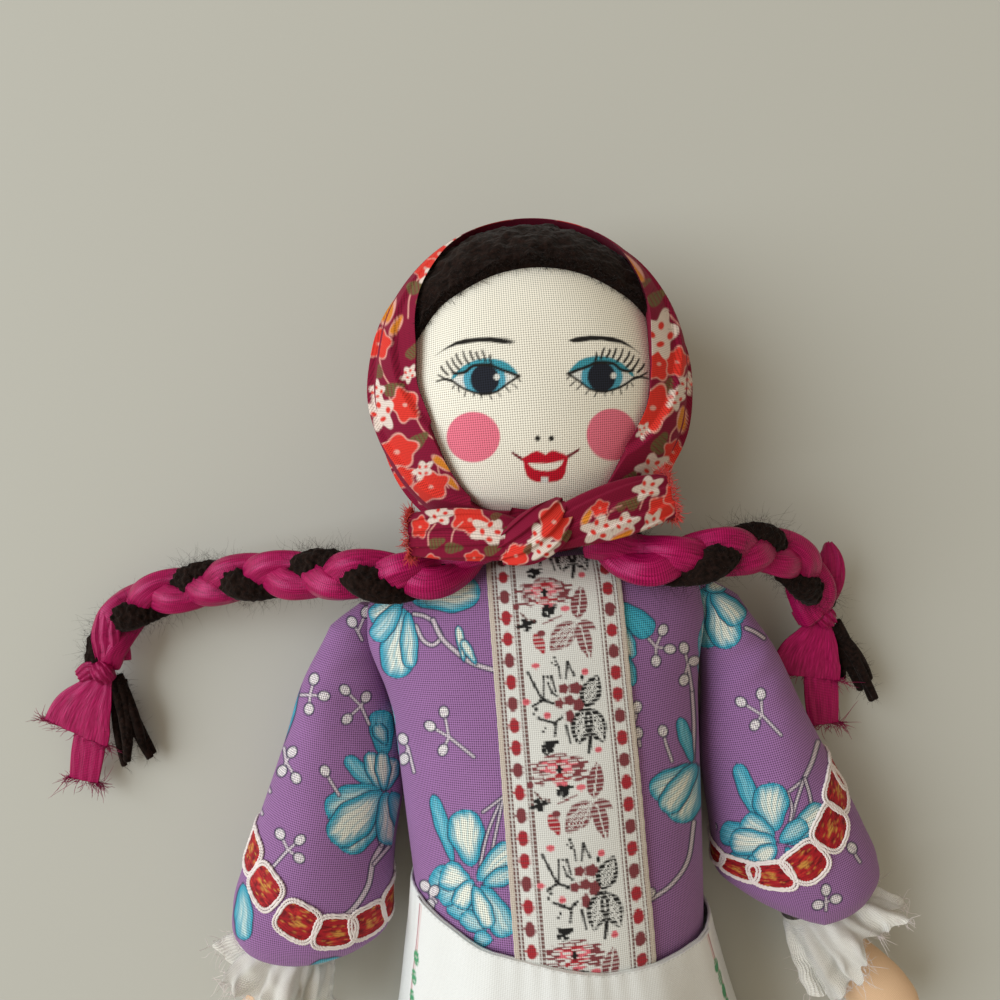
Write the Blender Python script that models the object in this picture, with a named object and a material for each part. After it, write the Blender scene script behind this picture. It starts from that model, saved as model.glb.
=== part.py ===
"""Rag doll lying on its back: metres, +Z up, head along +Y, the doll's left hand along +X."""

import math

import bmesh
import bpy
from mathutils import Matrix, Vector

for leftover in list(bpy.data.objects):
    bpy.data.objects.remove(leftover, do_unlink=True)

# Fit between pieces. Sewn covers touch their filling and each other with a thread's width to spare.
CLOTH = 0.0006
CLEARANCE = 0.0004
LAYER_GAP = 0.0007
FLAT_CUT = 0.0005

# Torso bag, from the neck seam to the hip seam, and the level of its side seams above the table.
TORSO_TOP = 0.057
TORSO_LENGTH = 0.1336
TORSO_HALF_WIDTH = 0.0502
TORSO_HEIGHT = 0.055
SEAM_LEVEL = 0.023
TORSO_SIDES = 32

# Woven ribbon down the front, and the skirt and apron that start at the waist.
RIBBON_WIDTH = 0.037
RIBBON_OFFSET = 0.0055
RIBBON_THICK = 0.0006
SKIRT_THICK = 0.0008
SKIRT_LENGTH = 0.150
HEM_HALF_WIDTH = 0.077
HEM_HEIGHT = 0.037
SKIRT_SIDES = 48
SKIRT_FOLDS = 12
FOLD_DEPTH = 0.0016
APRON_THICK = 0.0007
APRON_LENGTH = 0.1445

# Head: a round flat-faced bag, tipped a little to the doll's left, with hair and kerchief around it.
HEAD_HALF_WIDTH = 0.040
HEAD_HALF_HEIGHT = 0.0412
FACE_DEPTH = 0.030
NAPE_DEPTH = 0.0250
HEAD_LEVEL = 0.032
HEAD_TIP = math.radians(-4.0)
HEAD_SIDES = 24
HAIR_THICK = 0.0035
KERCHIEF_THICK = 0.0010
GATHER_HOLE_SHARE = 0.24

# The kerchief's knot under the chin and its two loose ends.
KNOT_HALF_LENGTH = 0.0215
KNOT_HALF_WIDTH = 0.0078
KNOT_HALF_THICK = 0.0034
KERCHIEF_END_LENGTH = 0.0135
KERCHIEF_END_WIDTH = 0.0145
KERCHIEF_END_THICK = 0.0016

# Nod of the head: the crease at the throat that the head folds about.
NOD_BELOW_NECK = 0.007
NOD_LEVEL = 0.036

# Arms: pear-shaped sleeves that lean away from the sides, trim, frill and mitten hand.
SHOULDER_DROP = 0.020
SHOULDER_EASE = 0.0003
ARM_LEAN = math.radians(13.0)
ARM_LENGTH = 0.109
ARM_HALF_WIDTH = 0.0250
ARM_HALF_THICK = 0.0175
ARM_LEVEL = 0.0192
ARM_SIDES = 14
TRIM_THICK = 0.0009
TRIM_LENGTH = 0.015
WRIST_RADIUS = 0.0065
FRILL_LENGTH = 0.021
FRILL_HALF_WIDTH = 0.0185
FRILL_HALF_THICK = 0.0135
FRILL_SIDES = 28
HAND_LENGTH = 0.036
HAND_HALF_WIDTH = 0.0098
HAND_HALF_THICK = 0.0068

# Hips and legs.
HIP_RADIUS = 0.0142
HIP_LEVEL = 0.0156
LEG_OFFSET = 0.0225
LEG_LENGTH = 0.158
LEG_HALF_WIDTH = 0.0162
FOOT_HEIGHT = 0.0400
LEG_SIDES = 14
BOOT_THICK = 0.0010
BOOT_LENGTH = 0.043

# Braids: three strands each, as thick as a finger, a bow and a wool tassel at the end.
BRAID_RADIUS = 0.0066
BRAID_SIDES = 8
BOW_LENGTH = 0.0064
BOW_HALF_WIDTH = 0.0128
BOW_HALF_THICK = 0.0074
TASSEL_LENGTH = 0.0345
TASSEL_TIP_SHARE = 1.25


def material(name, colour, roughness, metallic=0.0):
    made = bpy.data.materials.new(name)
    made.use_nodes = True
    shader = made.node_tree.nodes["Principled BSDF"]
    shader.inputs["Base Color"].default_value = (*colour, 1.0)
    shader.inputs["Roughness"].default_value = roughness
    shader.inputs["Metallic"].default_value = metallic
    made.diffuse_color = (*colour, 1.0)
    return made


PURPLE = material("purple_cotton", (0.27, 0.13, 0.36), 0.9)
LINEN = material("cream_linen", (0.77, 0.73, 0.60), 0.95)
WHITE_LINEN = material("white_linen", (0.78, 0.80, 0.81), 0.95)
BURGUNDY = material("burgundy_print", (0.26, 0.01, 0.05), 0.9)
JACQUARD = material("jacquard_ribbon", (0.65, 0.62, 0.60), 0.8)
BROCADE = material("red_gold_brocade", (0.28, 0.03, 0.03), 0.7)
GAUZE = material("white_gauze", (0.82, 0.80, 0.73), 0.95)
SKIN = material("peach_cotton", (0.74, 0.54, 0.42), 0.95)
WOOL = material("dark_wool", (0.020, 0.010, 0.009), 1.0)
MAGENTA = material("magenta_ribbon", (0.38, 0.01, 0.10), 0.6)
FILLING = material("fibre_filling", (0.85, 0.84, 0.80), 1.0)
BOOT = material("brown_felt", (0.10, 0.05, 0.03), 0.95)


def between(low, high, share):
    return low + (high - low) * share


def read_shares(table, share):
    """Row of a table of shares at a station, straight between the rows written down."""
    for first, second in zip(table, table[1:]):
        if share <= second[0]:
            part = (share - first[0]) / (second[0] - first[0])
            return [between(a, b, part) for a, b in zip(first[1:], second[1:])]
    return list(table[-1][1:])


def section(level, station, half_width, top, bottom, sides, wave=None, square_share=1.0):
    """Ring of points across the body's length: an oval above its level, squarer below it."""
    ring = []
    for index in range(sides):
        angle = math.tau * index / sides
        swell = wave(angle) if wave else 0.0
        across = math.cos(angle)
        height = math.sin(angle)
        if height > 0.0:
            z = level + (top - level + swell) * height
        else:
            across = math.copysign(abs(across) ** square_share, across)
            z = level - (level - bottom) * (-height) ** square_share
        x = (half_width + swell * abs(across)) * across
        ring.append(Vector((x, station, max(z, 0.0))))
    return ring


def lofted(rings, start, end):
    """Skin through rings of points; each end is left open or closed onto its middle."""
    mesh = bmesh.new()
    rows = [[mesh.verts.new(point) for point in ring] for ring in rings]
    for lower, upper in zip(rows, rows[1:]):
        count = len(lower)
        for index in range(count):
            following = (index + 1) % count
            mesh.faces.new((lower[index], lower[following], upper[following], upper[index]))
    for row, closed in ((rows[0], start), (rows[-1], end)):
        if closed:
            middle = sum((vertex.co for vertex in row), Vector()) / len(row)
            tip = mesh.verts.new(middle)
            for index, vertex in enumerate(row):
                mesh.faces.new((vertex, row[(index + 1) % len(row)], tip))
    bmesh.ops.recalc_face_normals(mesh, faces=mesh.faces)
    return mesh


def draw_in(mesh, distance):
    """Move the whole skin inwards along its normals."""
    mesh.normal_update()
    moves = [(v, v.normal * distance * min(v.calc_shell_factor(), 1.4)) for v in mesh.verts]
    for vertex, move in moves:
        vertex.co -= move


def piece(name, mesh, look, pivot=None, turn=0.0, wall=None):
    """Finish one piece as an object whose origin is the pivot that it turns about."""
    pivot = pivot or Vector()
    data = bpy.data.meshes.new(name)
    mesh.to_mesh(data)
    mesh.free()
    data.materials.append(look)
    data.shade_smooth()
    made = bpy.data.objects.new(name, data)
    bpy.context.scene.collection.objects.link(made)
    made.location = pivot
    made.rotation_euler = (0.0, 0.0, turn)
    if wall:
        solidify = made.modifiers.new("cloth", "SOLIDIFY")
        solidify.thickness = wall
        solidify.offset = -1.0
        solidify.use_even_offset = True
        solidify.use_rim = True
    return made


def sheet(points):
    """Open patch of cloth from rows of points, its front side facing up."""
    mesh = bmesh.new()
    rows = [[mesh.verts.new(point) for point in row] for row in points]
    for lower, upper in zip(rows, rows[1:]):
        for index in range(len(lower) - 1):
            mesh.faces.new((lower[index], lower[index + 1], upper[index + 1], upper[index]))
    mesh.normal_update()
    if sum(face.normal.z for face in mesh.faces) < 0.0:
        bmesh.ops.reverse_faces(mesh, faces=mesh.faces)
    return mesh


# Torso bag. Stations run from the neck seam (0) to the hip seam (1); the other columns are
# shares of the half width, of the front's height and of the height for the lifted back.
TORSO_SHARES = (
    (0.000, 0.280, 0.560, 0.290),
    (0.012, 0.600, 0.640, 0.190),
    (0.038, 0.820, 0.715, 0.100),
    (0.082, 0.965, 0.770, 0.028),
    (0.140, 1.000, 0.805, 0.000),
    (0.280, 0.974, 0.860, 0.000),
    (0.430, 0.952, 0.918, 0.000),
    (0.610, 0.926, 0.972, 0.000),
    (0.755, 0.902, 1.000, 0.000),
    (0.800, 0.894, 0.995, 0.032),
    (0.870, 0.872, 0.950, 0.036),
    (0.935, 0.800, 0.850, 0.070),
    (0.980, 0.620, 0.680, 0.165),
    (1.000, 0.340, 0.530, 0.310),
)
WAIST_SHARE = 0.800
TORSO_BOTTOM = TORSO_TOP - TORSO_LENGTH
WAIST = TORSO_TOP - TORSO_LENGTH * WAIST_SHARE


def torso_size(station_share):
    width, front, back = read_shares(TORSO_SHARES, station_share)
    lift = back * TORSO_HEIGHT if back > 0.0 else -FLAT_CUT
    return width * TORSO_HALF_WIDTH, front * TORSO_HEIGHT, lift


def torso_rings(grow=0.0):
    rings = []
    for row in TORSO_SHARES:
        half_width, front, back = torso_size(row[0])
        station = TORSO_TOP - TORSO_LENGTH * row[0]
        rings.append(section(SEAM_LEVEL, station, half_width + grow, front + grow, back, TORSO_SIDES))
    return rings


piece("torso_cover", lofted(torso_rings(), False, True), PURPLE, wall=CLOTH)
torso_filling = lofted(torso_rings(), True, True)
draw_in(torso_filling, CLOTH + CLEARANCE)
piece("torso_stuffing", torso_filling, FILLING)


def torso_front(x, y, grow):
    """Height of the torso's front above the table."""
    half_width, front, _ = torso_size((TORSO_TOP - y) / TORSO_LENGTH)
    reach = min(abs(x) / (half_width + grow), 1.0)
    return SEAM_LEVEL + (front + grow - SEAM_LEVEL) * math.sqrt(1.0 - reach * reach)


# Woven ribbon, sewn down the front from just under the chin to the waist.
RIBBON_TOP_SHARE = 0.045
RIBBON_COLUMNS = 6
ribbon_stations = [RIBBON_TOP_SHARE]
ribbon_stations += [row[0] for row in TORSO_SHARES if RIBBON_TOP_SHARE < row[0] < WAIST_SHARE]
ribbon_end = WAIST + CLEARANCE
ribbon_stations += [(TORSO_TOP - ribbon_end) / TORSO_LENGTH]
ribbon_rows = []
for share in ribbon_stations:
    y = TORSO_TOP - TORSO_LENGTH * share
    row = []
    for column in range(RIBBON_COLUMNS + 1):
        x = RIBBON_OFFSET + RIBBON_WIDTH * (column / RIBBON_COLUMNS - 0.5)
        row.append(Vector((x, y, torso_front(x, y, CLEARANCE + CLOTH) + RIBBON_THICK)))
    ribbon_rows.append(row)
piece("front_ribbon", sheet(ribbon_rows), JACQUARD, wall=RIBBON_THICK)


# Skirt. Its yoke is sewn round the waist; below the hip crease the flare hangs with the legs.
# Columns: share of the skirt's length, share from waist to hem width, the same for the height,
# the share of the full fold depth, and the widest line's height as a share of the seam level.
SKIRT_SHARES = (
    (0.000, 0.000, 0.000, 0.15, 1.00),
    (0.060, 0.060, -0.030, 0.35, 0.80),
    (0.120, 0.130, -0.020, 0.60, 0.60),
    (0.180, 0.190, 0.020, 0.80, 0.48),
    (0.195, 0.205, 0.030, 0.85, 0.46),
    (0.280, 0.300, 0.120, 1.00, 0.38),
    (0.420, 0.470, 0.300, 1.00, 0.32),
    (0.600, 0.680, 0.520, 1.00, 0.28),
    (0.800, 0.860, 0.780, 1.00, 0.26),
    (1.000, 1.000, 1.000, 1.00, 0.25),
)
SKIRT_SQUARE_SHARE = 0.5
SKIRT_REST = 0.0
waist_half_width, waist_front, _ = torso_size(WAIST_SHARE)
SKIRT_WAIST_HALF_WIDTH = waist_half_width + CLEARANCE + CLOTH + SKIRT_THICK + FOLD_DEPTH * 0.15
SKIRT_WAIST_HEIGHT = waist_front + CLEARANCE + CLOTH + SKIRT_THICK + FOLD_DEPTH * 0.15
CREASE_SHARE = (WAIST - TORSO_BOTTOM) / SKIRT_LENGTH


def skirt_size(share):
    width, height, fold, level = read_shares(SKIRT_SHARES, share)
    half_width = between(SKIRT_WAIST_HALF_WIDTH, HEM_HALF_WIDTH, width)
    top = between(SKIRT_WAIST_HEIGHT, HEM_HEIGHT, height)
    return half_width, top, SEAM_LEVEL * level, fold * FOLD_DEPTH


def skirt_rings(start, end, grow=0.0, bottom=SKIRT_REST):
    shares = [start]
    shares += [row[0] for row in SKIRT_SHARES if start + 0.01 < row[0] < end - 0.01]
    shares += [end]
    rings = []
    for share in shares:
        half_width, top, level, fold = skirt_size(share)

        def wave(angle, fold=fold):
            return fold * math.cos(SKIRT_FOLDS * angle) * max(math.sin(angle), 0.0) ** 0.5

        station = WAIST - SKIRT_LENGTH * share
        ring = section(
            level, station, half_width + grow, top + grow, bottom, SKIRT_SIDES, wave, SKIRT_SQUARE_SHARE
        )
        rings.append(ring)
    return rings


CREASE_GAP = 0.0008
FLARE_SHARE = CREASE_SHARE + CREASE_GAP / SKIRT_LENGTH
piece("skirt_top", lofted(skirt_rings(0.0, CREASE_SHARE), False, False), WHITE_LINEN, wall=SKIRT_THICK)


# Hip crease: the legs, the flare and the apron's long panel fold forward about this line.
HIP = TORSO_BOTTOM - CLEARANCE - CLOTH - HIP_RADIUS
hip_pivot = Vector((0.0, HIP, HIP_LEVEL))


def about(pivot, rings, turn=0.0):
    """The same rings seen from a pivot, so that the object can be placed by its own origin."""
    spin = Matrix.Rotation(-turn, 3, "Z")
    return [[spin @ (point - pivot) for point in ring] for ring in rings]


flare_rings = about(hip_pivot, skirt_rings(FLARE_SHARE, 1.0))
piece("skirt_flare", lofted(flare_rings, False, False), WHITE_LINEN, hip_pivot, wall=SKIRT_THICK)

# Apron: one long cloth over the skirt's front, cut where it bends at the hips.
APRON_FROM_SHARE = 1 / 12
APRON_TO_SHARE = 5 / 12


def apron_rows(start, end):
    rows = []
    first = round(SKIRT_SIDES * APRON_FROM_SHARE)
    last = round(SKIRT_SIDES * APRON_TO_SHARE)
    for ring in skirt_rings(start, end, CLEARANCE + APRON_THICK):
        rows.append(ring[first:last + 1])
    return rows


piece("apron_top", sheet(apron_rows(0.0, CREASE_SHARE)), WHITE_LINEN, wall=APRON_THICK)
panel_rows = about(hip_pivot, apron_rows(FLARE_SHARE, APRON_LENGTH / SKIRT_LENGTH))
piece("apron_panel", sheet(panel_rows), WHITE_LINEN, hip_pivot, wall=APRON_THICK)


# Head. Its pieces are cups round one centre, written as shares of a half turn from the nape.
nod_pivot = Vector((0.0, TORSO_TOP - NOD_BELOW_NECK, NOD_LEVEL))
head_turn = Matrix.Rotation(HEAD_TIP, 3, "Z")
hair_grow = LAYER_GAP + HAIR_THICK
kerchief_grow = hair_grow + LAYER_GAP + KERCHIEF_THICK
neck_to_head = HEAD_HALF_HEIGHT + kerchief_grow + CLEARANCE
head_centre = Vector((0.0, TORSO_TOP, HEAD_LEVEL)) + head_turn @ Vector((0.0, neck_to_head, 0.0))
CUP_RINGS = 9


def cup_rings(grow, start_share, rim_share, first_ring=1):
    """Rings round the head from its nape towards the face, out to a rim that may vary."""
    rings = []
    for index in range(first_ring, CUP_RINGS + 1):
        ring = []
        for side in range(HEAD_SIDES):
            angle = math.tau * side / HEAD_SIDES
            share = between(start_share, rim_share(angle), index / CUP_RINGS)
            tilt = math.pi * (share - 0.5)
            depth = FACE_DEPTH if share > 0.5 else NAPE_DEPTH
            round_off = math.cos(tilt)
            x = (HEAD_HALF_WIDTH + grow) * round_off * math.cos(angle)
            y = (HEAD_HALF_HEIGHT + grow) * round_off * math.sin(angle)
            z = (depth + grow) * math.sin(tilt)
            ring.append(Vector((x, y, z)))
        rings.append(ring)
    return rings


def on_head(rings):
    """Head pieces are placed by the nod pivot, with the head's tip in their rotation."""
    spin = Matrix.Rotation(-HEAD_TIP, 3, "Z")
    back = spin @ (head_centre - nod_pivot)
    return [[point + back for point in ring] for ring in rings]


FACE_END_SHARE = 0.955


def face_rim(angle):
    return FACE_END_SHARE


bag = on_head(cup_rings(0.0, GATHER_HOLE_SHARE * 0.5, face_rim, 0))
piece("head_cover", lofted(bag, False, True), LINEN, nod_pivot, HEAD_TIP, CLOTH)
head_filling = lofted(bag, True, True)
draw_in(head_filling, CLOTH + CLEARANCE)
piece("head_stuffing", head_filling, FILLING, nod_pivot, HEAD_TIP)

HAIR_RIM_SHARES = (0.735, 0.045, 0.000)
KERCHIEF_RIM_SHARES = (0.735, -0.050, 0.008)


def hair_rim(angle):
    middle, upper, lower = HAIR_RIM_SHARES
    lift = math.sin(angle)
    return middle + (upper * lift if lift > 0.0 else lower * lift)


def kerchief_rim(angle):
    middle, upper, lower = KERCHIEF_RIM_SHARES
    lift = math.sin(angle)
    return middle + (upper * lift if lift > 0.0 else lower * lift)


hair_cup = on_head(cup_rings(hair_grow, 0.0, hair_rim))
piece("hair_pad", lofted(hair_cup, True, False), WOOL, nod_pivot, HEAD_TIP, HAIR_THICK)
kerchief_cup = on_head(cup_rings(kerchief_grow, 0.0, kerchief_rim))
piece("kerchief", lofted(kerchief_cup, True, False), BURGUNDY, nod_pivot, HEAD_TIP, KERCHIEF_THICK)

# Knot under the chin: it lies on the kerchief's slope, long side across the throat.
KNOT_PLACE_SHARE = 0.690
KNOT_ROUND_SHARES = ((0.0, 0.55), (0.12, 0.82), (0.32, 0.97), (0.5, 1.12), (0.68, 0.97), (0.88, 0.82), (1.0, 0.55))
KNOT_SIDES = 12


def knot_place(grow):
    tilt = math.pi * (KNOT_PLACE_SHARE - 0.5)
    reach = kerchief_grow + grow
    y = -(HEAD_HALF_HEIGHT + reach) * math.cos(tilt)
    z = (FACE_DEPTH + reach) * math.sin(tilt)
    return Vector((0.0, y, z))


def knot_axes():
    """Across the slope (towards the face) and away from it."""
    outward = (knot_place(KNOT_HALF_THICK) - knot_place(0.0)).normalized()
    along = outward.cross(Vector((1.0, 0.0, 0.0))).normalized()
    if along.y < 0.0:
        along = -along
    return along, outward


def knot_rings():
    along, outward = knot_axes()
    middle = knot_place(KNOT_HALF_THICK * KNOT_ROUND_SHARES[3][1] + CLEARANCE * 0.5)
    rings = []
    for share, size in KNOT_ROUND_SHARES:
        ring = []
        for side in range(KNOT_SIDES):
            angle = math.tau * side / KNOT_SIDES
            offset = along * KNOT_HALF_WIDTH * size * math.cos(angle)
            offset += outward * KNOT_HALF_THICK * size * math.sin(angle)
            x = between(-KNOT_HALF_LENGTH, KNOT_HALF_LENGTH, share)
            ring.append(middle + offset + Vector((x, 0.0, 0.0)))
        rings.append(ring)
    return rings


piece("kerchief_knot", lofted(on_head(knot_rings()), True, True), BURGUNDY, nod_pivot, HEAD_TIP)


# Loose ends of the kerchief: flat flaps that leave the knot at each side.
END_ROUND_SHARES = ((0.0, 0.55), (0.2, 0.80), (0.55, 0.95), (0.85, 1.00), (1.0, 0.90))


def end_rings(side_sign, lift):
    along, outward = knot_axes()
    middle = knot_place(KNOT_HALF_THICK * KNOT_ROUND_SHARES[3][1] + CLEARANCE * 0.5)
    rings = []
    for share, size in END_ROUND_SHARES:
        ring = []
        rise = KERCHIEF_END_LENGTH * share * lift
        x = side_sign * (KNOT_HALF_LENGTH + CLEARANCE + KERCHIEF_END_LENGTH * share)
        for side in range(KNOT_SIDES):
            angle = math.tau * side / KNOT_SIDES
            offset = along * (KERCHIEF_END_WIDTH * 0.5 * size * math.cos(angle) + rise)
            offset += outward * KERCHIEF_END_THICK * 0.5 * math.sin(angle)
            ring.append(middle + offset + Vector((x, 0.0, 0.0)))
        rings.append(ring)
    return rings


piece("kerchief_end_left", lofted(on_head(end_rings(1.0, 0.45)), True, True), BURGUNDY, nod_pivot, HEAD_TIP)
piece("kerchief_end_right", lofted(on_head(end_rings(-1.0, 0.1)), True, True), BURGUNDY, nod_pivot, HEAD_TIP)


# Sleeves. Columns: share of the sleeve's length, share of its half width, of its half thickness.
SLEEVE_SHARES = (
    (0.000, 0.180, 0.300),
    (0.050, 0.240, 0.400),
    (0.140, 0.335, 0.520),
    (0.260, 0.480, 0.690),
    (0.400, 0.660, 0.860),
    (0.550, 0.830, 0.970),
    (0.700, 0.960, 1.000),
    (0.820, 1.000, 0.960),
    (0.900, 0.900, 0.850),
    (0.955, 0.690, 0.680),
    (0.985, 0.470, 0.500),
    (1.000, 0.330, 0.400),
)


def shoulder_offset():
    """Least distance from the middle at which the leaning sleeve clears the torso's side,
    also where the arm's swing brings it level with the torso's widest line."""
    offset = 0.0
    rise = SEAM_LEVEL - ARM_LEVEL
    for share, width, _ in SLEEVE_SHARES:
        along = ARM_LENGTH * share * math.cos(ARM_LEAN)
        half_width = ARM_HALF_WIDTH * width
        level_along = math.sqrt(max(along * along - rise * rise, 0.0))
        drop = SHOULDER_DROP + level_along - half_width * math.sin(ARM_LEAN)
        side = torso_size(drop / TORSO_LENGTH)[0]
        needed = side + half_width * math.cos(ARM_LEAN) - ARM_LENGTH * share * math.sin(ARM_LEAN)
        offset = max(offset, needed)
    return offset + SHOULDER_EASE


SHOULDER = shoulder_offset()
TRIM_FROM_SHARE = 0.705


def free_section(half_width, half_thick, station, sides, wave=None):
    """Oval ring that may hang below the local zero level."""
    ring = []
    for index in range(sides):
        angle = math.tau * index / sides
        grow = wave(angle) if wave else 0.0
        x = (half_width + grow) * math.cos(angle)
        z = (half_thick + grow) * math.sin(angle)
        ring.append(Vector((x, station, z)))
    return ring


def sleeve_rings(start, end, grow=0.0):
    shares = [start]
    shares += [row[0] for row in SLEEVE_SHARES if start < row[0] < end]
    shares += [end]
    rings = []
    for share in shares:
        width, thick = read_shares(SLEEVE_SHARES, share)
        half_width = width * ARM_HALF_WIDTH + grow
        half_thick = thick * ARM_HALF_THICK + grow
        rings.append(free_section(half_width, half_thick, -ARM_LENGTH * share, ARM_SIDES))
    return rings


# The frill widens from the wrist; the hand is a mitten that shows at its mouth.
FRILL_SHARES = ((0.0, 0.0, 0.0), (0.30, 0.45, 0.15), (0.65, 0.82, 0.6), (1.0, 1.0, 1.0))
FRILL_WAVES = 7
FRILL_WAVE = 0.0013
HAND_SHARES = (
    (0.000, 0.55, 0.80),
    (0.030, 0.64, 0.90),
    (0.300, 0.68, 0.90),
    (0.480, 0.86, 0.98),
    (0.700, 1.00, 1.00),
    (0.880, 0.86, 0.84),
    (0.965, 0.55, 0.55),
    (1.000, 0.22, 0.25),
)


def frill_rings():
    rings = []
    start = -ARM_LENGTH - CLEARANCE
    neck = WRIST_RADIUS + CLEARANCE + CLOTH * 2.0
    for share, size, wave_share in FRILL_SHARES:

        def wave(angle, wave_share=wave_share):
            return FRILL_WAVE * wave_share * math.cos(FRILL_WAVES * angle)

        half_width = between(neck, FRILL_HALF_WIDTH, size)
        half_thick = between(neck, FRILL_HALF_THICK, size)
        rings.append(free_section(half_width, half_thick, start - FRILL_LENGTH * share, FRILL_SIDES, wave))
    return rings


def hand_rings():
    rings = []
    start = -ARM_LENGTH - CLEARANCE
    for share, width, thick in HAND_SHARES:
        half_width = min(HAND_HALF_WIDTH * width, WRIST_RADIUS) if share < 0.35 else HAND_HALF_WIDTH * width
        half_thick = min(HAND_HALF_THICK * thick, WRIST_RADIUS)
        rings.append(free_section(half_width, half_thick, start - HAND_LENGTH * share, ARM_SIDES))
    return rings


TRIM_TO_SHARE = TRIM_FROM_SHARE + TRIM_LENGTH / ARM_LENGTH
for side_name, sign in (("left", 1.0), ("right", -1.0)):
    shoulder = Vector((sign * SHOULDER, TORSO_TOP - SHOULDER_DROP, ARM_LEVEL))
    lean = sign * ARM_LEAN
    sleeve = sleeve_rings(0.0, 1.0)
    piece(f"sleeve_{side_name}", lofted(sleeve, False, True), PURPLE, shoulder, lean, CLOTH)
    arm_filling = lofted(sleeve, True, True)
    draw_in(arm_filling, CLOTH + CLEARANCE)
    piece(f"arm_stuffing_{side_name}", arm_filling, FILLING, shoulder, lean)
    band = sleeve_rings(TRIM_FROM_SHARE, TRIM_TO_SHARE, CLEARANCE * 1.5 + TRIM_THICK)
    piece(f"cuff_trim_{side_name}", lofted(band, False, False), BROCADE, shoulder, lean, TRIM_THICK)
    piece(f"cuff_frill_{side_name}", lofted(frill_rings(), False, False), GAUZE, shoulder, lean, CLOTH)
    piece(f"hand_{side_name}", lofted(hand_rings(), True, True), SKIN, shoulder, lean)


# Legs. Columns: station as a share of the leg's length from the hip seam, share of the half
# width, and the top and bottom of the leg as shares of the hip radius and the foot's height.
LEG_SHARES = (
    (0.000, 0.45, -0.760, 0.000),
    (0.032, 0.78, -0.240, 0.000),
    (0.090, 0.97, 0.000, 0.000),
    (0.200, 1.00, 0.020, 0.000),
    (0.400, 0.95, 0.000, 0.000),
    (0.600, 0.82, -0.110, 0.000),
    (0.760, 0.70, -0.200, 0.000),
    (0.840, 0.68, -0.200, 0.250),
    (0.900, 0.70, -0.200, 0.800),
    (0.945, 0.68, -0.200, 1.100),
    (0.980, 0.55, -0.300, 0.900),
    (1.000, 0.30, -0.450, 0.500),
)
HIP_END = HIP + HIP_RADIUS
FOOT_RISE = FOOT_HEIGHT - HIP_LEVEL - HIP_RADIUS


def leg_ring(share, grow):
    width, swell, foot = read_shares(LEG_SHARES, share)
    half_width = width * LEG_HALF_WIDTH + grow
    half_thick = HIP_RADIUS * (1.0 + swell)
    top = half_thick + FOOT_RISE * foot + grow
    station = HIP_RADIUS - LEG_LENGTH * share
    ring = []
    for index in range(LEG_SIDES):
        angle = math.tau * index / LEG_SIDES
        rise = top if math.sin(angle) > 0.0 else half_thick + grow
        ring.append(Vector((half_width * math.cos(angle), station, rise * math.sin(angle))))
    return ring


def leg_rings(start, grow=0.0):
    shares = [start]
    shares += [row[0] for row in LEG_SHARES if start < row[0]]
    return [leg_ring(share, grow) for share in shares]


BOOT_FROM_SHARE = 1.0 - BOOT_LENGTH / LEG_LENGTH
BOOT_GROW = CLEARANCE + CLOTH * 0.5 + BOOT_THICK
for side_name, sign in (("left", 1.0), ("right", -1.0)):
    hip = Vector((sign * LEG_OFFSET, HIP, HIP_LEVEL))
    leg = leg_rings(0.0)
    piece(f"leg_cover_{side_name}", lofted(leg, False, True), LINEN, hip, 0.0, CLOTH)
    leg_filling = lofted(leg, True, True)
    draw_in(leg_filling, CLOTH + CLEARANCE)
    piece(f"leg_stuffing_{side_name}", leg_filling, FILLING, hip)
    boot_rings = leg_rings(BOOT_FROM_SHARE, BOOT_GROW)
    tip = [point + Vector((0.0, -BOOT_GROW - BOOT_THICK, 0.0)) for point in boot_rings[-1]]
    boot_rings = boot_rings[:-1] + [tip]
    piece(f"boot_{side_name}", lofted(boot_rings, False, True), BOOT, hip, 0.0, BOOT_THICK)


# Braids. Each route is written from the kerchief outwards, in millimetres as they lie. The
# root is sewn under the kerchief, the braid lifts from it, and its tail droops past the bend.
MILLIMETRE = 0.001
ROOT_ROUTE_LEFT = (
    (21.5, 59.3, 44.0),
    (25.5, 55.0, 45.5),
    (31.0, 51.8, 46.8),
    (36.5, 50.6, 47.0),
)
BRAID_ROUTE_LEFT = (
    (46.0, 50.3, 45.8),
    (57.0, 50.4, 42.3),
    (67.0, 49.0, 36.0),
)
TAIL_ROUTE_LEFT = (
    (74.5, 46.0, 30.5),
    (79.5, 42.0, 25.5),
    (84.0, 35.5, 20.0),
    (86.5, 28.5, 16.5),
)
ROOT_ROUTE_RIGHT = (
    (-16.0, 61.2, 42.5),
    (-22.5, 56.5, 44.0),
    (-29.0, 54.0, 45.2),
    (-35.5, 53.0, 45.2),
)
BRAID_ROUTE_RIGHT = (
    (-50.0, 53.3, 41.5),
    (-67.0, 53.5, 33.0),
    (-85.0, 53.0, 24.5),
    (-103.0, 51.5, 17.0),
    (-118.0, 49.5, 12.0),
)
TAIL_ROUTE_RIGHT = (
    (-127.0, 46.5, 10.0),
    (-132.5, 42.0, 9.0),
    (-135.5, 36.5, 8.6),
    (-136.5, 31.0, 8.5),
)
TASSEL_FALL_LEFT = (0.42, -0.88, -0.22)
TASSEL_FALL_RIGHT = (0.02, -1.00, -0.04)
BEND_GAP = 0.0009
BRAID_END_SHARE = 0.5
BRAID_SHOULDER_SHARE = 0.35


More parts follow.
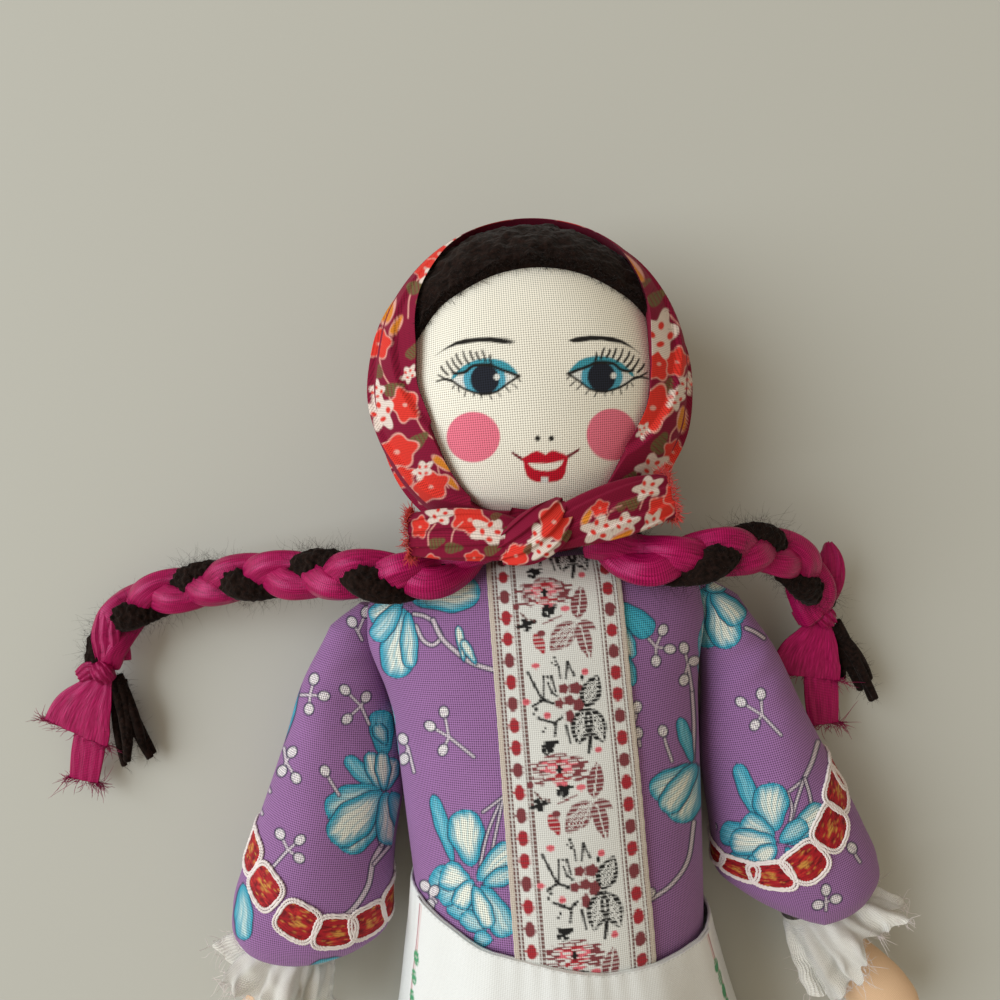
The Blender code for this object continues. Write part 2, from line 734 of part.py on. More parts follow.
def tube_rings(points, radii, sides, flat=1.0):
    """Rings square to a route, kept from twisting by carrying one side direction along it."""
    rings = []
    side = None
    for index, point in enumerate(points):
        before = points[max(index - 1, 0)]
        after = points[min(index + 1, len(points) - 1)]
        forward = (after - before).normalized()
        if side is None:
            side = forward.cross(Vector((0.0, 0.0, 1.0))).normalized()
        side = (side - forward * side.dot(forward)).normalized()
        up = side.cross(forward).normalized()
        ring = []
        for step in range(sides):
            angle = math.tau * step / sides
            offset = side * math.cos(angle) + up * math.sin(angle) * flat
            ring.append(point + offset * radii[index])
        rings.append(ring)
    return rings


def braid_route(table, before=None):
    """Route of one stretch; one that follows another starts square to where that one ends."""
    points = [Vector(point) * MILLIMETRE for point in table]
    if before:
        onward = (before[-1] - before[-2]).normalized()
        start = before[-1] + onward * BEND_GAP
        points = [start, start + onward * BRAID_RADIUS * BRAID_SHOULDER_SHARE] + points
    last = (points[-1] - points[-2]).normalized()
    points.insert(-1, points[-1] - last * BRAID_RADIUS * BRAID_SHOULDER_SHARE)
    return points


def stretch(name, points, pivot, look):
    """Stretch of braid with both ends drawn in round the thread that binds them."""
    radii = [BRAID_RADIUS] * len(points)
    radii[0] = BRAID_RADIUS * BRAID_END_SHARE
    radii[-1] = BRAID_RADIUS * BRAID_END_SHARE
    rings = tube_rings([point - pivot for point in points], radii, BRAID_SIDES)
    piece(name, lofted(rings, True, True), look, pivot)


BOW_SHARES = ((0.0, 0.45), (0.2, 0.85), (0.5, 1.0), (0.8, 0.85), (1.0, 0.45))
TASSEL_SHARES = ((0.0, 0.55), (0.15, 0.85), (0.5, 1.0), (0.85, TASSEL_TIP_SHARE), (1.0, 1.0))
LIFT_RISE = Vector((0.0, 0.0, BRAID_RADIUS * BRAID_END_SHARE))

for side_name, root_route, route, tail_route, fall in (
    ("left", ROOT_ROUTE_LEFT, BRAID_ROUTE_LEFT, TAIL_ROUTE_LEFT, TASSEL_FALL_LEFT),
    ("right", ROOT_ROUTE_RIGHT, BRAID_ROUTE_RIGHT, TAIL_ROUTE_RIGHT, TASSEL_FALL_RIGHT),
):
    root = braid_route(root_route)
    run = braid_route(route, root)
    tail = braid_route(tail_route, run)
    bend = (run[-1] + tail[0]) * 0.5
    stretch(f"braid_root_{side_name}", root, root[0], MAGENTA)
    stretch(f"braid_{side_name}", run, (root[-1] + run[0]) * 0.5 + LIFT_RISE, MAGENTA)
    stretch(f"braid_tail_{side_name}", tail, bend, MAGENTA)
    leave = (tail[-1] - tail[-2]).normalized()
    bow_start = tail[-1] - bend + leave * (CLEARANCE * 2.0)
    bow_points = [bow_start + leave * BOW_LENGTH * share for share, _ in BOW_SHARES]
    bow_radii = [BOW_HALF_WIDTH * size for _, size in BOW_SHARES]
    flatness = BOW_HALF_THICK / BOW_HALF_WIDTH
    bow_rings = tube_rings(bow_points, bow_radii, BRAID_SIDES, flatness)
    piece(f"braid_bow_{side_name}", lofted(bow_rings, True, True), MAGENTA, bend)
    fall = Vector(fall).normalized()
    tassel_start = bow_points[-1] + (leave + fall).normalized() * (CLEARANCE * 2.0)
    tassel_points = [tassel_start + fall * TASSEL_LENGTH * share for share, _ in TASSEL_SHARES]
    tassel_radii = [BRAID_RADIUS * size for _, size in TASSEL_SHARES]
    tassel_rings = tube_rings(tassel_points, tassel_radii, BRAID_SIDES, 0.72)
    piece(f"braid_tassel_{side_name}", lofted(tassel_rings, True, True), WOOL, bend)
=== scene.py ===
"""Rag doll lying on its back on a pale table, seen from straight above."""

import math

import bpy
import numpy as np
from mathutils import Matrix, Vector


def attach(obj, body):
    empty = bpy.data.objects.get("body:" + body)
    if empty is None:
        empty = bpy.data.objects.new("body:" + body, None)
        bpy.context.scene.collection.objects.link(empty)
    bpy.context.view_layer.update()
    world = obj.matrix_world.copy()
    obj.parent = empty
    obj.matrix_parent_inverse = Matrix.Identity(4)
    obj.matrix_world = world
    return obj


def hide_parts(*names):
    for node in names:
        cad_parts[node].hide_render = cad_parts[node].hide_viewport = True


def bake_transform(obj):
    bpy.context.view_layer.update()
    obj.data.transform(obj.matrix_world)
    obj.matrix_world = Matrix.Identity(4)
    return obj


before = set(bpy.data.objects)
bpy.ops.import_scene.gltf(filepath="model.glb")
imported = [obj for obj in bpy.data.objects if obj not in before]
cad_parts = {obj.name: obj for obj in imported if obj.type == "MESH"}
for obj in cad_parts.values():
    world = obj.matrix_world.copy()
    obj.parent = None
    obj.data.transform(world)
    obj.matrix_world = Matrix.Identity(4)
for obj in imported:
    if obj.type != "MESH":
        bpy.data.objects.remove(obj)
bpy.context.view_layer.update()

# The camera hangs over the doll's chest, as a phone held above a table, and is turned a little
# against the doll. A point's place in the picture also sets where prints and paint lie.
MM = 0.001
CAMERA_AT = Vector((-7.7, 72.8, 250.0)) * MM
CAMERA_TURN = math.radians(-4.4)
SENSOR_WIDTH = 36.0
LENS = 27.2
PICTURE = 1000.0
NEAREST = 10.0 * MM
PIXEL = SENSOR_WIDTH / LENS / PICTURE

camera_data = bpy.data.cameras.new("camera")
camera_data.sensor_width = SENSOR_WIDTH
camera_data.lens = LENS
camera_data.clip_start = NEAREST
camera = bpy.data.objects.new("camera", camera_data)
camera.location = CAMERA_AT
camera.rotation_euler = (0.0, 0.0, CAMERA_TURN)
bpy.context.collection.objects.link(camera)
bpy.context.scene.camera = camera


def in_picture(points):
    """Picture place of points given as rows of x, y, z in metres."""
    away = points - np.array(CAMERA_AT)
    right = np.array((math.cos(CAMERA_TURN), math.sin(CAMERA_TURN), 0.0))
    up = np.array((-math.sin(CAMERA_TURN), math.cos(CAMERA_TURN), 0.0))
    depth = np.maximum(-away[:, 2], MM)
    across = PICTURE / 2 + away @ right / depth / PIXEL
    down = PICTURE / 2 - away @ up / depth / PIXEL
    return np.stack((across, down), axis=1)


# Soft window light from the upper left of the picture, and an even room light around it.
ROOM_LIGHT = 0.49
ROOM_COLOUR = (1.0, 0.85, 0.64, 1.0)
WINDOW_AT = Vector((-2.10, 0.50, 1.60))
WINDOW_SIZE = 2.2
WINDOW_POWER = 74.0
WINDOW_COLOUR = (0.94, 0.985, 1.0)

scene = bpy.context.scene
scene.view_settings.view_transform = "Standard"
world = bpy.data.worlds.new("room")
world.use_nodes = True
room = world.node_tree.nodes["Background"]
room.inputs["Color"].default_value = ROOM_COLOUR
room.inputs["Strength"].default_value = ROOM_LIGHT
scene.world = world
window_data = bpy.data.lights.new("window", "AREA")
window_data.size = WINDOW_SIZE
window_data.energy = WINDOW_POWER
window_data.color = WINDOW_COLOUR
window = bpy.data.objects.new("window", window_data)
window.location = WINDOW_AT
window.rotation_euler = (-WINDOW_AT).to_track_quat("-Z", "Y").to_euler()
bpy.context.collection.objects.link(window)


# Shader sums are written as Python sums: a wire is one socket of a material's tree.
class Wire:
    def __init__(self, tree, socket):
        self.tree = tree
        self.socket = socket

    def node(self, kind, settings=None, inputs=None, output=0):
        """Any other node: its settings are made first, then the values or links of its sockets."""
        made = self.tree.nodes.new(kind)
        for name, value in (settings or {}).items():
            if name == "stops":
                ramp = made.color_ramp
                while len(ramp.elements) < len(value):
                    ramp.elements.new(0.5)
                for element, (place, colour) in zip(ramp.elements, value):
                    element.position = place
                    element.color = (*colour, 1.0)
            else:
                setattr(made, name, value)
        for name, value in (inputs or {}).items():
            if isinstance(value, Wire):
                self.tree.links.new(value.socket, made.inputs[name])
            else:
                made.inputs[name].default_value = value
        return Wire(self.tree, made.outputs[output])

    def maths(self, operation, first, second=None):
        inputs = {0: first} if second is None else {0: first, 1: second}
        return self.node("ShaderNodeMath", {"operation": operation}, inputs)

    def __add__(self, other):
        return self.maths("ADD", self, other)

    def __radd__(self, other):
        return self.maths("ADD", other, self)

    def __sub__(self, other):
        return self.maths("SUBTRACT", self, other)

    def __rsub__(self, other):
        return self.maths("SUBTRACT", other, self)

    def __mul__(self, other):
        return self.maths("MULTIPLY", self, other)

    def __rmul__(self, other):
        return self.maths("MULTIPLY", other, self)

    def sine(self):
        return self.maths("SINE", self)

    def size(self):
        return self.maths("ABSOLUTE", self)

    def power(self, exponent):
        return self.maths("POWER", self, exponent)

    def part(self, axis):
        """One of a vector's three numbers."""
        return self.node("ShaderNodeSeparateXYZ", None, {0: self}, axis)

    def toned(self, stops):
        """Colour of this number along a ramp of stops."""
        return self.node("ShaderNodeValToRGB", {"stops": stops}, {0: self})

    def bumped(self, distance, strength=1.0):
        """Normal of a surface raised by this height."""
        return self.node("ShaderNodeBump", None, {"Height": self, "Distance": distance, "Strength": strength})

    def feed(self, shader, socket_name):
        """Leads this value into one of the shader's sockets."""
        self.tree.links.new(self.socket, shader.inputs[socket_name])


SHEEN_ROUGHNESS = 0.4


def finish_material(name, roughness, specular=0.25, sheen=0.0, colour=None):
    """New material with its constants on the shader; gives it, its shader and a first wire."""
    made = bpy.data.materials.new(name)
    made.use_nodes = True
    tree = made.node_tree
    shader = tree.nodes["Principled BSDF"]
    shader.inputs["Roughness"].default_value = roughness
    shader.inputs["Specular IOR Level"].default_value = specular
    shader.inputs["Sheen Weight"].default_value = sheen
    shader.inputs["Sheen Roughness"].default_value = SHEEN_ROUGHNESS
    if colour:
        shader.inputs["Base Color"].default_value = (*colour, 1.0)
    return made, shader, Wire(tree, None)


def dye(red, green, blue):
    """Linear colour of a cloth that looks like these 0 to 255 values."""
    shares = np.array((red, green, blue)) / 255.0
    low = shares / 12.92
    high = ((shares + 0.055) / 1.055) ** 2.4
    return tuple(float(c) for c in np.where(shares <= 0.04045, low, high))


# The table is a matt pale grey-beige board. It only carries the doll and takes its shadow.
TABLE_COLOUR = dye(185, 187, 182)
TABLE_SIDE = 6.0
TABLE_DROP = 0.3 * MM

table_data = bpy.data.meshes.new("table")
half = TABLE_SIDE / 2
corners = ((-half, -half, 0), (half, -half, 0), (half, half, 0), (-half, half, 0))
table_data.from_pydata([(x, y, -TABLE_DROP) for x, y, _ in corners], [], [(0, 1, 2, 3)])
table = bpy.data.objects.new("table", table_data)
bpy.context.collection.objects.link(table)
board, _, _ = finish_material("table_board", 0.75, 0.2, 0.0, TABLE_COLOUR)
table_data.materials.append(board)


# Torso: a bag of purple quilting cotton, cut from two halves with side seams, filled hard with
# fibre. Stations run from the neck seam to the hip seam; other columns are shares of the sizes.
TORSO_TOP = 57.0 * MM
TORSO_LENGTH = 133.6 * MM
TORSO_HALF_WIDTH = 50.2 * MM
TORSO_HEIGHT = 55.0 * MM
SEAM_LEVEL = 23.0 * MM
FLAT_CUT = 0.5 * MM
TORSO_SHARES = np.array((
    (0.000, 0.280, 0.560, 0.290),
    (0.012, 0.600, 0.640, 0.190),
    (0.038, 0.820, 0.715, 0.100),
    (0.082, 0.965, 0.770, 0.028),
    (0.140, 1.000, 0.805, 0.000),
    (0.280, 0.974, 0.860, 0.000),
    (0.430, 0.952, 0.918, 0.000),
    (0.610, 0.926, 0.972, 0.000),
    (0.755, 0.902, 1.000, 0.000),
    (0.800, 0.894, 0.995, 0.032),
    (0.870, 0.872, 0.950, 0.036),
    (0.935, 0.800, 0.850, 0.070),
    (0.980, 0.620, 0.680, 0.165),
    (1.000, 0.340, 0.530, 0.310),
))


def smooth_shares(table, stations):
    """Columns of a table of shares at new stations, on a curve through the rows written down."""
    at = table[:, 0]
    index = np.clip(np.searchsorted(at, stations, side="right") - 1, 0, len(at) - 2)
    slopes = np.gradient(table[:, 1:], at, axis=0)
    width = (at[index + 1] - at[index])[:, None]
    part = ((stations - at[index])[:, None]) / width
    first, second = table[index, 1:], table[index + 1, 1:]
    start, end = slopes[index] * width, slopes[index + 1] * width
    cubic = (2 * part**3 - 3 * part**2 + 1) * first + (part**3 - 2 * part**2 + part) * start
    return cubic + (3 * part**2 - 2 * part**3) * second + (part**3 - part**2) * end


def round_angles(front_steps, back_steps):
    """Angles once round a piece, closer together over the front that carries fine print."""
    front = np.linspace(0.0, math.pi, front_steps, endpoint=False)
    back = np.linspace(math.pi, math.tau, back_steps, endpoint=False)
    return np.concatenate((front, back))


def close_stations(table, count):
    """Stations along a bag, closer together where its ends round over."""
    even = np.linspace(0.0, 1.0, count)
    ends = 0.5 - 0.5 * np.cos(math.pi * even)
    return (even * 0.6 + ends * 0.4) * (table[-1, 0] - table[0, 0]) + table[0, 0]


def mesh_of(name, vertices, corners, starts):
    """Smooth mesh from places, its faces' corners in a row and where each face starts in it."""
    mesh = bpy.data.meshes.new(name)
    mesh.vertices.add(len(vertices))
    mesh.vertices.foreach_set("co", vertices.ravel())
    mesh.loops.add(len(corners))
    mesh.loops.foreach_set("vertex_index", corners.astype(np.int32))
    mesh.polygons.add(len(starts))
    mesh.polygons.foreach_set("loop_start", starts.astype(np.int32))
    mesh.update(calc_edges=True)
    mesh.validate()
    mesh.shade_smooth()
    return mesh


def woven_mesh(name, points, around, start=True, end=True):
    """Mesh through rows of points; a bag closes around and onto its middle at each end."""
    rows, columns, _ = points.shape
    vertices = points.reshape(-1, 3)
    steps = columns if around else columns - 1
    lower, upper = np.meshgrid(np.arange(rows - 1), np.arange(steps), indexing="ij")
    lower, upper = lower.ravel(), upper.ravel()
    beside = (upper + 1) % columns
    quads = np.stack((lower * columns + upper, lower * columns + beside,
                      (lower + 1) * columns + beside, (lower + 1) * columns + upper), axis=1)
    loops = [quads.ravel()]
    counts = [np.full(len(quads), 4)]
    tips = []
    for row, closed, turned in ((0, start, True), (rows - 1, end, False)):
        if not (around and closed):
            continue
        tip = len(vertices) + len(tips)
        tips.append(points[row].mean(axis=0))
        ring = np.arange(columns)
        after = (ring + 1) % columns
        first, second = (after, ring) if turned else (ring, after)
        fan = (row * columns + first, row * columns + second, np.full(columns, tip))
        loops.append(np.stack(fan, axis=1).ravel())
        counts.append(np.full(columns, 3))
    if tips:
        vertices = np.concatenate((vertices, np.array(tips)))
    sizes = np.concatenate(counts)
    return mesh_of(name, vertices, np.concatenate(loops), np.cumsum(sizes) - sizes)


def add_piece(name, mesh, look, body, node_slot, *nodes):
    """Piece that moves with a body, takes the given finish and stands for CAD nodes; node_slot is not used.
    """
    made = bpy.data.objects.new(name, mesh)
    bpy.context.collection.objects.link(made)
    mesh.materials.append(look)
    if body:
        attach(made, body)
    if nodes:
        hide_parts(*nodes)
    return made


def outward(mesh):
    """Turn the faces out if the mesh was wound inside out."""
    mesh.calc_loop_triangles()
    corners = np.zeros(len(mesh.loop_triangles) * 3, np.int32)
    mesh.loop_triangles.foreach_get("vertices", corners)
    place = np.zeros(len(mesh.vertices) * 3)
    mesh.vertices.foreach_get("co", place)
    place = place.reshape(-1, 3)
    a, b, c = (place[corners.reshape(-1, 3)[:, k]] for k in range(3))
    volume = np.einsum("ij,ij->i", a, np.cross(b, c)).sum()
    if volume < 0.0:
        mesh.flip_normals()
    return mesh


def places(mesh):
    found = np.zeros(len(mesh.vertices) * 3)
    mesh.vertices.foreach_get("co", found)
    return found.reshape(-1, 3)


def facing(mesh):
    found = np.zeros(len(mesh.vertices) * 3, np.float32)
    mesh.vertex_normals.foreach_get("vector", found)
    return found.reshape(-1, 3)


class Print:
    """Dye on a cloth: a colour for each vertex, laid by motifs drawn in millimetres of thread."""

    def __init__(self, mesh, thread, ground):
        self.mesh = mesh
        self.thread = thread
        self.colour = np.tile(np.array(ground, float), (len(thread), 1))
        self.pixels = in_picture(places(mesh))
        self.seen = facing(mesh)[:, 2] > 0.30

    def at(self, across, down):
        """Thread place of the cloth seen at a place in the picture."""
        gap = np.hypot(*(self.pixels - np.array((across, down))).T)
        gap[~self.seen] = np.inf
        return self.thread[int(np.argmin(gap))]

    def local(self, centre, turn, reach):
        """Vertices near a motif and their places in its own turned axes."""
        offset = self.thread - np.array(centre)
        near = np.nonzero(np.abs(offset).max(axis=1) < reach)[0]
        along = math.cos(turn), math.sin(turn)
        x = offset[near, 0] * along[0] + offset[near, 1] * along[1]
        y = -offset[near, 0] * along[1] + offset[near, 1] * along[0]
        return near, x, y

    def lay(self, near, cover, colour):
        """Cover part of the dye with a colour, or with one colour for each vertex."""
        cover = np.clip(cover, 0.0, 1.0)[:, None]
        self.colour[near] = self.colour[near] * (1.0 - cover) + np.array(colour) * cover

    def keep(self):
        paint = self.mesh.color_attributes.new("paint", "FLOAT_COLOR", "POINT")
        filled = np.ones((len(self.mesh.vertices), 4), np.float32)
        filled[:len(self.colour), :3] = self.colour
        filled[len(self.colour):, :3] = self.colour[-1]
        paint.data.foreach_set("color", filled.ravel())
        threads = self.mesh.attributes.new("thread", "FLOAT_VECTOR", "POINT")
        placed = np.zeros((len(self.mesh.vertices), 3), np.float32)
        placed[:len(self.thread), :2] = self.thread
        threads.data.foreach_set("vector", placed.ravel())


EDGE = 0.16


def cover_of(inside):
    """Cover from a distance inside an outline, in millimetres, soft over a thread's width."""
    return np.clip(inside / EDGE * 0.5 + 0.5, 0.0, 1.0)


def weave_material(name, pitch, depth, roughness, gaps, shade=0.12, sheen=0.15, colour=None, slub=0.5):
    """Plain weave: threads each way on the cloth's own thread coordinates, with small holes."""
    made, shader, start = finish_material(name, roughness, 0.2, sheen)
    thread = start.node("ShaderNodeAttribute", {"attribute_name": "thread"}, None, 1)
    slubs = start.node("ShaderNodeTexNoise", None, {"Vector": thread, "Scale": 0.9 / pitch, "Detail": 2.0})
    warp = (thread.part(0) * (math.pi / pitch) + slubs * slub).sine().size()
    weft = (thread.part(1) * (math.pi / pitch) + slubs * slub).sine().size()
    over = (thread.part(0) * (math.pi / pitch)).sine() * (thread.part(1) * (math.pi / pitch)).sine()
    height = warp.power(0.6) * (0.5 + 0.5 * over) + weft.power(0.6) * (0.5 - 0.5 * over)
    if colour is None:
        dyed = start.node("ShaderNodeAttribute", {"attribute_name": "paint"}, None, 0)
    else:
        dyed = start.node("ShaderNodeRGB", None, None)
        dyed.socket.default_value = (*colour, 1.0)
    hole = ((1.0 - warp).power(1.7) + (1.0 - weft).power(1.7) + (1.0 - warp) * (1.0 - weft)) * (gaps * 0.5)
    wear = start.node("ShaderNodeTexNoise", None, {"Vector": thread, "Scale": 0.06, "Detail": 3.0})
    darken = 1.0 - hole - (slubs - 0.5) * shade - (wear - 0.5) * shade
    grey = start.node("ShaderNodeCombineColor", None, {0: darken, 1: darken, 2: darken})
    mix = start.node("ShaderNodeMix", {"data_type": "RGBA", "blend_type": "MULTIPLY"},
                     {0: 1.0, 6: dyed, 7: grey}, 2)
    mix.feed(shader, "Base Color")
    height.bumped(depth, 0.7).feed(shader, "Normal")
    return made


COTTON_PITCH = 0.62
purple_cotton = weave_material("purple_cotton", COTTON_PITCH, 0.14 * MM, 0.85, 0.95, 0.16)
PURPLE = dye(161, 116, 174)
DEEP_TEAL = dye(26, 132, 168)
TURQUOISE = dye(76, 192, 222)
PETAL_WHITE = dye(244, 250, 240)
INK = dye(46, 44, 78)
STEM_PALE = dye(222, 210, 224)
BERRY_WHITE = dye(244, 240, 244)
BERRY_GREY = dye(196, 186, 204)


def petal(cloth, root, tip, width, white=0.7):
    """One petal: narrow at the root, round at the tip, teal at its edge with pale streaks inside."""
    run = np.array(tip) - np.array(root)
    length = max(float(np.hypot(*run)), 1.5)
    near, x, y = cloth.local(root, math.atan2(run[1], run[0]), length * 1.1 + width)
    along = np.clip(x / length, 0.0, 1.0)
    wave = 1.0 + 0.05 * np.sin(along * 8.0 + width) + 0.04 * np.sin(along * 15.0)
    half_width = width * 0.66 * along**0.5 * np.sqrt(np.clip(1.0 - along**4, 0.0, 1.0)) * wave
    inside = np.minimum(half_width - np.abs(y), np.minimum(x + 0.2, length - x))
    angle = np.arctan2(y, x + width * 0.25 + 0.8)
    streak = 0.5 + 0.3 * np.sin(angle * 44.0 + 1.6 * np.sin(x * 0.7)) + 0.2 * np.sin(angle * 93.0 + x * 0.9)
    core = np.clip(inside / (width * 0.36), 0.0, 1.0)
    pale = (core * 1.7 - 0.30) * white * (0.45 + 1.0 * streak) * np.clip((along - 0.02) / 0.25, 0.0, 1.0)
    pale = np.clip(pale, 0.0, 1.0)[:, None]
    rim = np.clip(0.25 + 0.55 * streak + 0.45 * core, 0.0, 1.0)[:, None]
    teal = np.array(DEEP_TEAL) * (1.0 - rim) + np.array(TURQUOISE) * rim
    fill = teal * (1.0 - pale) + np.array(PETAL_WHITE) * pale
    cloth.lay(near, cover_of(inside + 0.28), INK)
    cloth.lay(near, cover_of(inside), fill)


def stroke(cloth, points, width, colour, outline=0.0, outline_colour=INK):
    """Drawn line through thread places, with a darker line along both its sides."""
    points = np.array(points, float)
    low, high = points.min(axis=0) - width - 1.5, points.max(axis=0) + width + 1.5
    near = np.nonzero(((cloth.thread > low) & (cloth.thread < high)).all(axis=1))[0]
    gap = np.full(len(near), np.inf)
    for first, second in zip(points, points[1:]):
        run = second - first
        offset = cloth.thread[near] - first
        part = np.clip(offset @ run / max(run @ run, 1e-9), 0.0, 1.0)
        gap = np.minimum(gap, np.hypot(*(offset - part[:, None] * run).T))
    if outline:
        cloth.lay(near, cover_of(width / 2 + outline - gap), outline_colour)
    cloth.lay(near, cover_of(width / 2 - gap), colour)


def curved(points, steps=6):
    """More places along a smooth line through a few."""
    points = np.array(points, float)
    if len(points) < 3:
        return points
    last = len(points) - 1
    table = np.column_stack((np.arange(len(points)), points))
    return smooth_shares(table, np.linspace(0, last, steps * last + 1))


def turned(centre, turn, x, y):
    """Place at x, y in axes turned about a centre."""
    across = centre[0] + x * math.cos(turn) - y * math.sin(turn)
    return across, centre[1] + x * math.sin(turn) + y * math.cos(turn)


def berry(cloth, centre, turn, size):
    near, x, y = cloth.local(centre, turn, size * 2)
    gap = size * 0.5 - np.hypot(x * 0.86, y * 1.06)
    cloth.lay(near, cover_of(gap + 0.36), INK)
    speckle = (np.sin(x * 9.0 + y * 4.0) * np.sin(y * 8.0 - x * 3.0) > 0.3)[:, None]
    cloth.lay(near, cover_of(gap), np.where(speckle, BERRY_GREY, BERRY_WHITE))


def sprig(cloth, stem_end, joint, berries, size=2.4):
    """White berries on short stalks that meet at the top of one stem."""
    ways = [np.array(place) - np.array(joint) for place in berries]
    for way in ways:
        stroke(cloth, [joint, np.array(joint) + way], 0.46, STEM_PALE, 0.26)
    stroke(cloth, [joint, stem_end], 0.62, STEM_PALE, 0.28)
    for way in ways:
        stroke(cloth, [joint, np.array(joint) + way * 0.9], 0.5, STEM_PALE)
        berry(cloth, np.array(joint) + way, math.atan2(way[1], way[0]), size)


FLOWER_PETALS = (
    (118.0, 21.0, 5.2, 0.15), (200.0, 13.0, 9.0, 0.30), (232.0, 16.0, 8.0, 0.35), (262.0, 15.5, 8.5, 0.45),
    (320.0, 16.5, 6.6, 0.30), (296.0, 15.5, 5.4, 1.00), (8.0, 13.0, 7.0, 0.60), (96.0, 16.0, 10.5, 0.95),
    (188.0, 10.5, 9.0, 0.85), (228.0, 10.5, 6.0, 0.95),
)


def flower(cloth, centre, turn=0.0, scale=1.0, petals=FLOWER_PETALS):
    """Open flower in turquoise and white, its petals laid one over the next."""
    for angle, length, width, white in petals:
        way = math.radians(angle) + turn
        petal(cloth, centre, turned(centre, way, length * scale, 0.0), width * scale, white)


PICTURE_STEP = 0.26
ON_PICTURE = (PICTURE_STEP, -PICTURE_STEP)
NOT_SEEN = 1e6


def drawn(place):
    """Drawing place, in millimetres at the table's scale, of a place in the picture."""
    return place[0] * PICTURE_STEP, -place[1] * PICTURE_STEP


def picture_print(cloth, stems, petals, sprigs):
    """Print drawn where the picture shows it, on the side of the cloth that is seen there."""
    thread = cloth.thread
    cloth.thread = np.where(cloth.seen[:, None], cloth.pixels * ON_PICTURE, NOT_SEEN)
    for stem, width in stems:
        stroke(cloth, curved([drawn(place) for place in stem]), width, STEM_PALE, 0.34)
    for across, down, tip_across, tip_down, width, white in petals:
        petal(cloth, drawn((across, down)), drawn((tip_across, tip_down)), width * PICTURE_STEP, white)
    for stem_end, joint, *berries in sprigs:
        sprig(cloth, drawn(stem_end), drawn(joint), [drawn(place) for place in berries])
    cloth.thread = thread


TORSO_STEMS = (
    (((414, 614), (424, 616), (433, 622), (441, 636), (433, 645), (423, 640), (416, 626)), 0.8),
    (((433, 620), (441, 637), (454, 650), (472, 663), (497, 671)), 0.95),
    (((694, 822), (688, 860), (672, 884), (652, 899)), 0.8),
    (((480, 866), (488, 832), (501, 800)), 0.5),
    (((489, 866), (496, 832), (503, 799)), 0.5),
    (((483, 812), (494, 804), (503, 797)), 0.5),
    (((693, 760), (694, 725), (692, 690)), 0.7),
)
TORSO_PETALS = (
    (402, 596, 368, 588, 26, 0.35), (402, 600, 372, 622, 27, 0.75), (398, 590, 388, 574, 26, 0.9),
    (412, 600, 480, 590, 36, 0.75), (418, 596, 462, 572, 22, 0.45), (402, 608, 396, 678, 36, 0.65),
    (408, 612, 410, 668, 18, 0.5), (400, 604, 374, 640, 22, 0.35), (406, 596, 414, 576, 18, 0.95),
    (464, 661, 458, 626, 8, 1.0), (476, 664, 462, 640, 9, 0.8),
    (478, 920, 450, 900, 26, 0.25), (486, 932, 462, 914, 20, 0.35), (492, 940, 474, 938, 18, 0.25),
    (478, 880, 514, 846, 27, 0.65), (482, 886, 509, 936, 28, 0.40), (484, 884, 514, 872, 20, 0.45),
    (453, 862, 433, 795, 14, 0.10), (472, 866, 462, 810, 36, 0.95), (466, 892, 430, 876, 34, 0.25),
    (468, 888, 438, 896, 26, 0.30), (470, 884, 441, 872, 30, 0.95), (472, 880, 458, 908, 22, 1.0),
    (474, 886, 490, 928, 19, 1.0),
    (616, 604, 652, 634, 26, 0.0), (622, 626, 628, 660, 22, 0.75), (624, 650, 632, 686, 14, 0.15),
    (692, 762, 680, 718, 13, 0.10), (696, 766, 652, 796, 30, 0.55), (698, 766, 676, 822, 34, 0.70),
    (696, 764, 664, 812, 26, 0.80),
)
TORSO_SPRIGS = (
    ((474, 757), (449, 737), (444, 712), (430, 726), (443, 750)),
    ((414, 772), (408, 748), (403, 739), (404, 759)),
    ((436, 902), (431, 896), (425, 886), (434, 891), (430, 905)),
    ((649, 639), (656, 647), (663, 630), (670, 649), (656, 661)),
    ((692, 690), (688, 664), (684, 648), (694, 661), (684, 680)),
    ((634, 722), (636, 716), (637, 707)),
    ((640, 746), (639, 740), (638, 733)),
    ((672, 761), (666, 744), (663, 731)),
    ((640, 900), (644, 897), (650, 893)),
)
NARROW_FROM = 37.0 * MM
WAIST_NARROW = 9.0 * MM
NARROW_SHARE = 0.062
NARROW_DRIFT = 1.2 * MM
TORSO_FRONT_STEPS = 430
TORSO_BACK_STEPS = 110
TORSO_ROWS = 410


def lumpy(points, amount, size, seed):
    """Soft unevenness of a hand-filled bag, the same each run."""
    found = np.zeros(len(points))
    state = np.random.default_rng(seed)
    for _ in range(9):
        way = state.normal(size=3)
        way *= math.tau / size / np.linalg.norm(way) * state.uniform(0.6, 1.5)
        found += np.sin(points @ way + state.uniform(0.0, math.tau))
    return found / 9.0 * 2.0 * amount


def bag_points(table, stations, angles, sizes):
    """Rows of points of an oval bag along -Y; sizes turns a row of shares into its measures."""
    shares = smooth_shares(table, stations)
    half_width, top, bottom, level = sizes(shares)
    across, height = np.cos(angles), np.sin(angles)
    rise = np.where(height > 0, (top - level)[:, None] * height, (level - bottom)[:, None] * height)
    return half_width[:, None] * across, level[:, None] + rise


def narrowed(x, y, until=WAIST_NARROW):
    """The filled torso draws in a little towards the waist, more on its right."""
    part = np.clip((NARROW_FROM - y) / (NARROW_FROM - until), 0.0, 1.0)
    part = part * part * (3.0 - 2.0 * part)
    return x * (1.0 - NARROW_SHARE * part) + NARROW_DRIFT * part


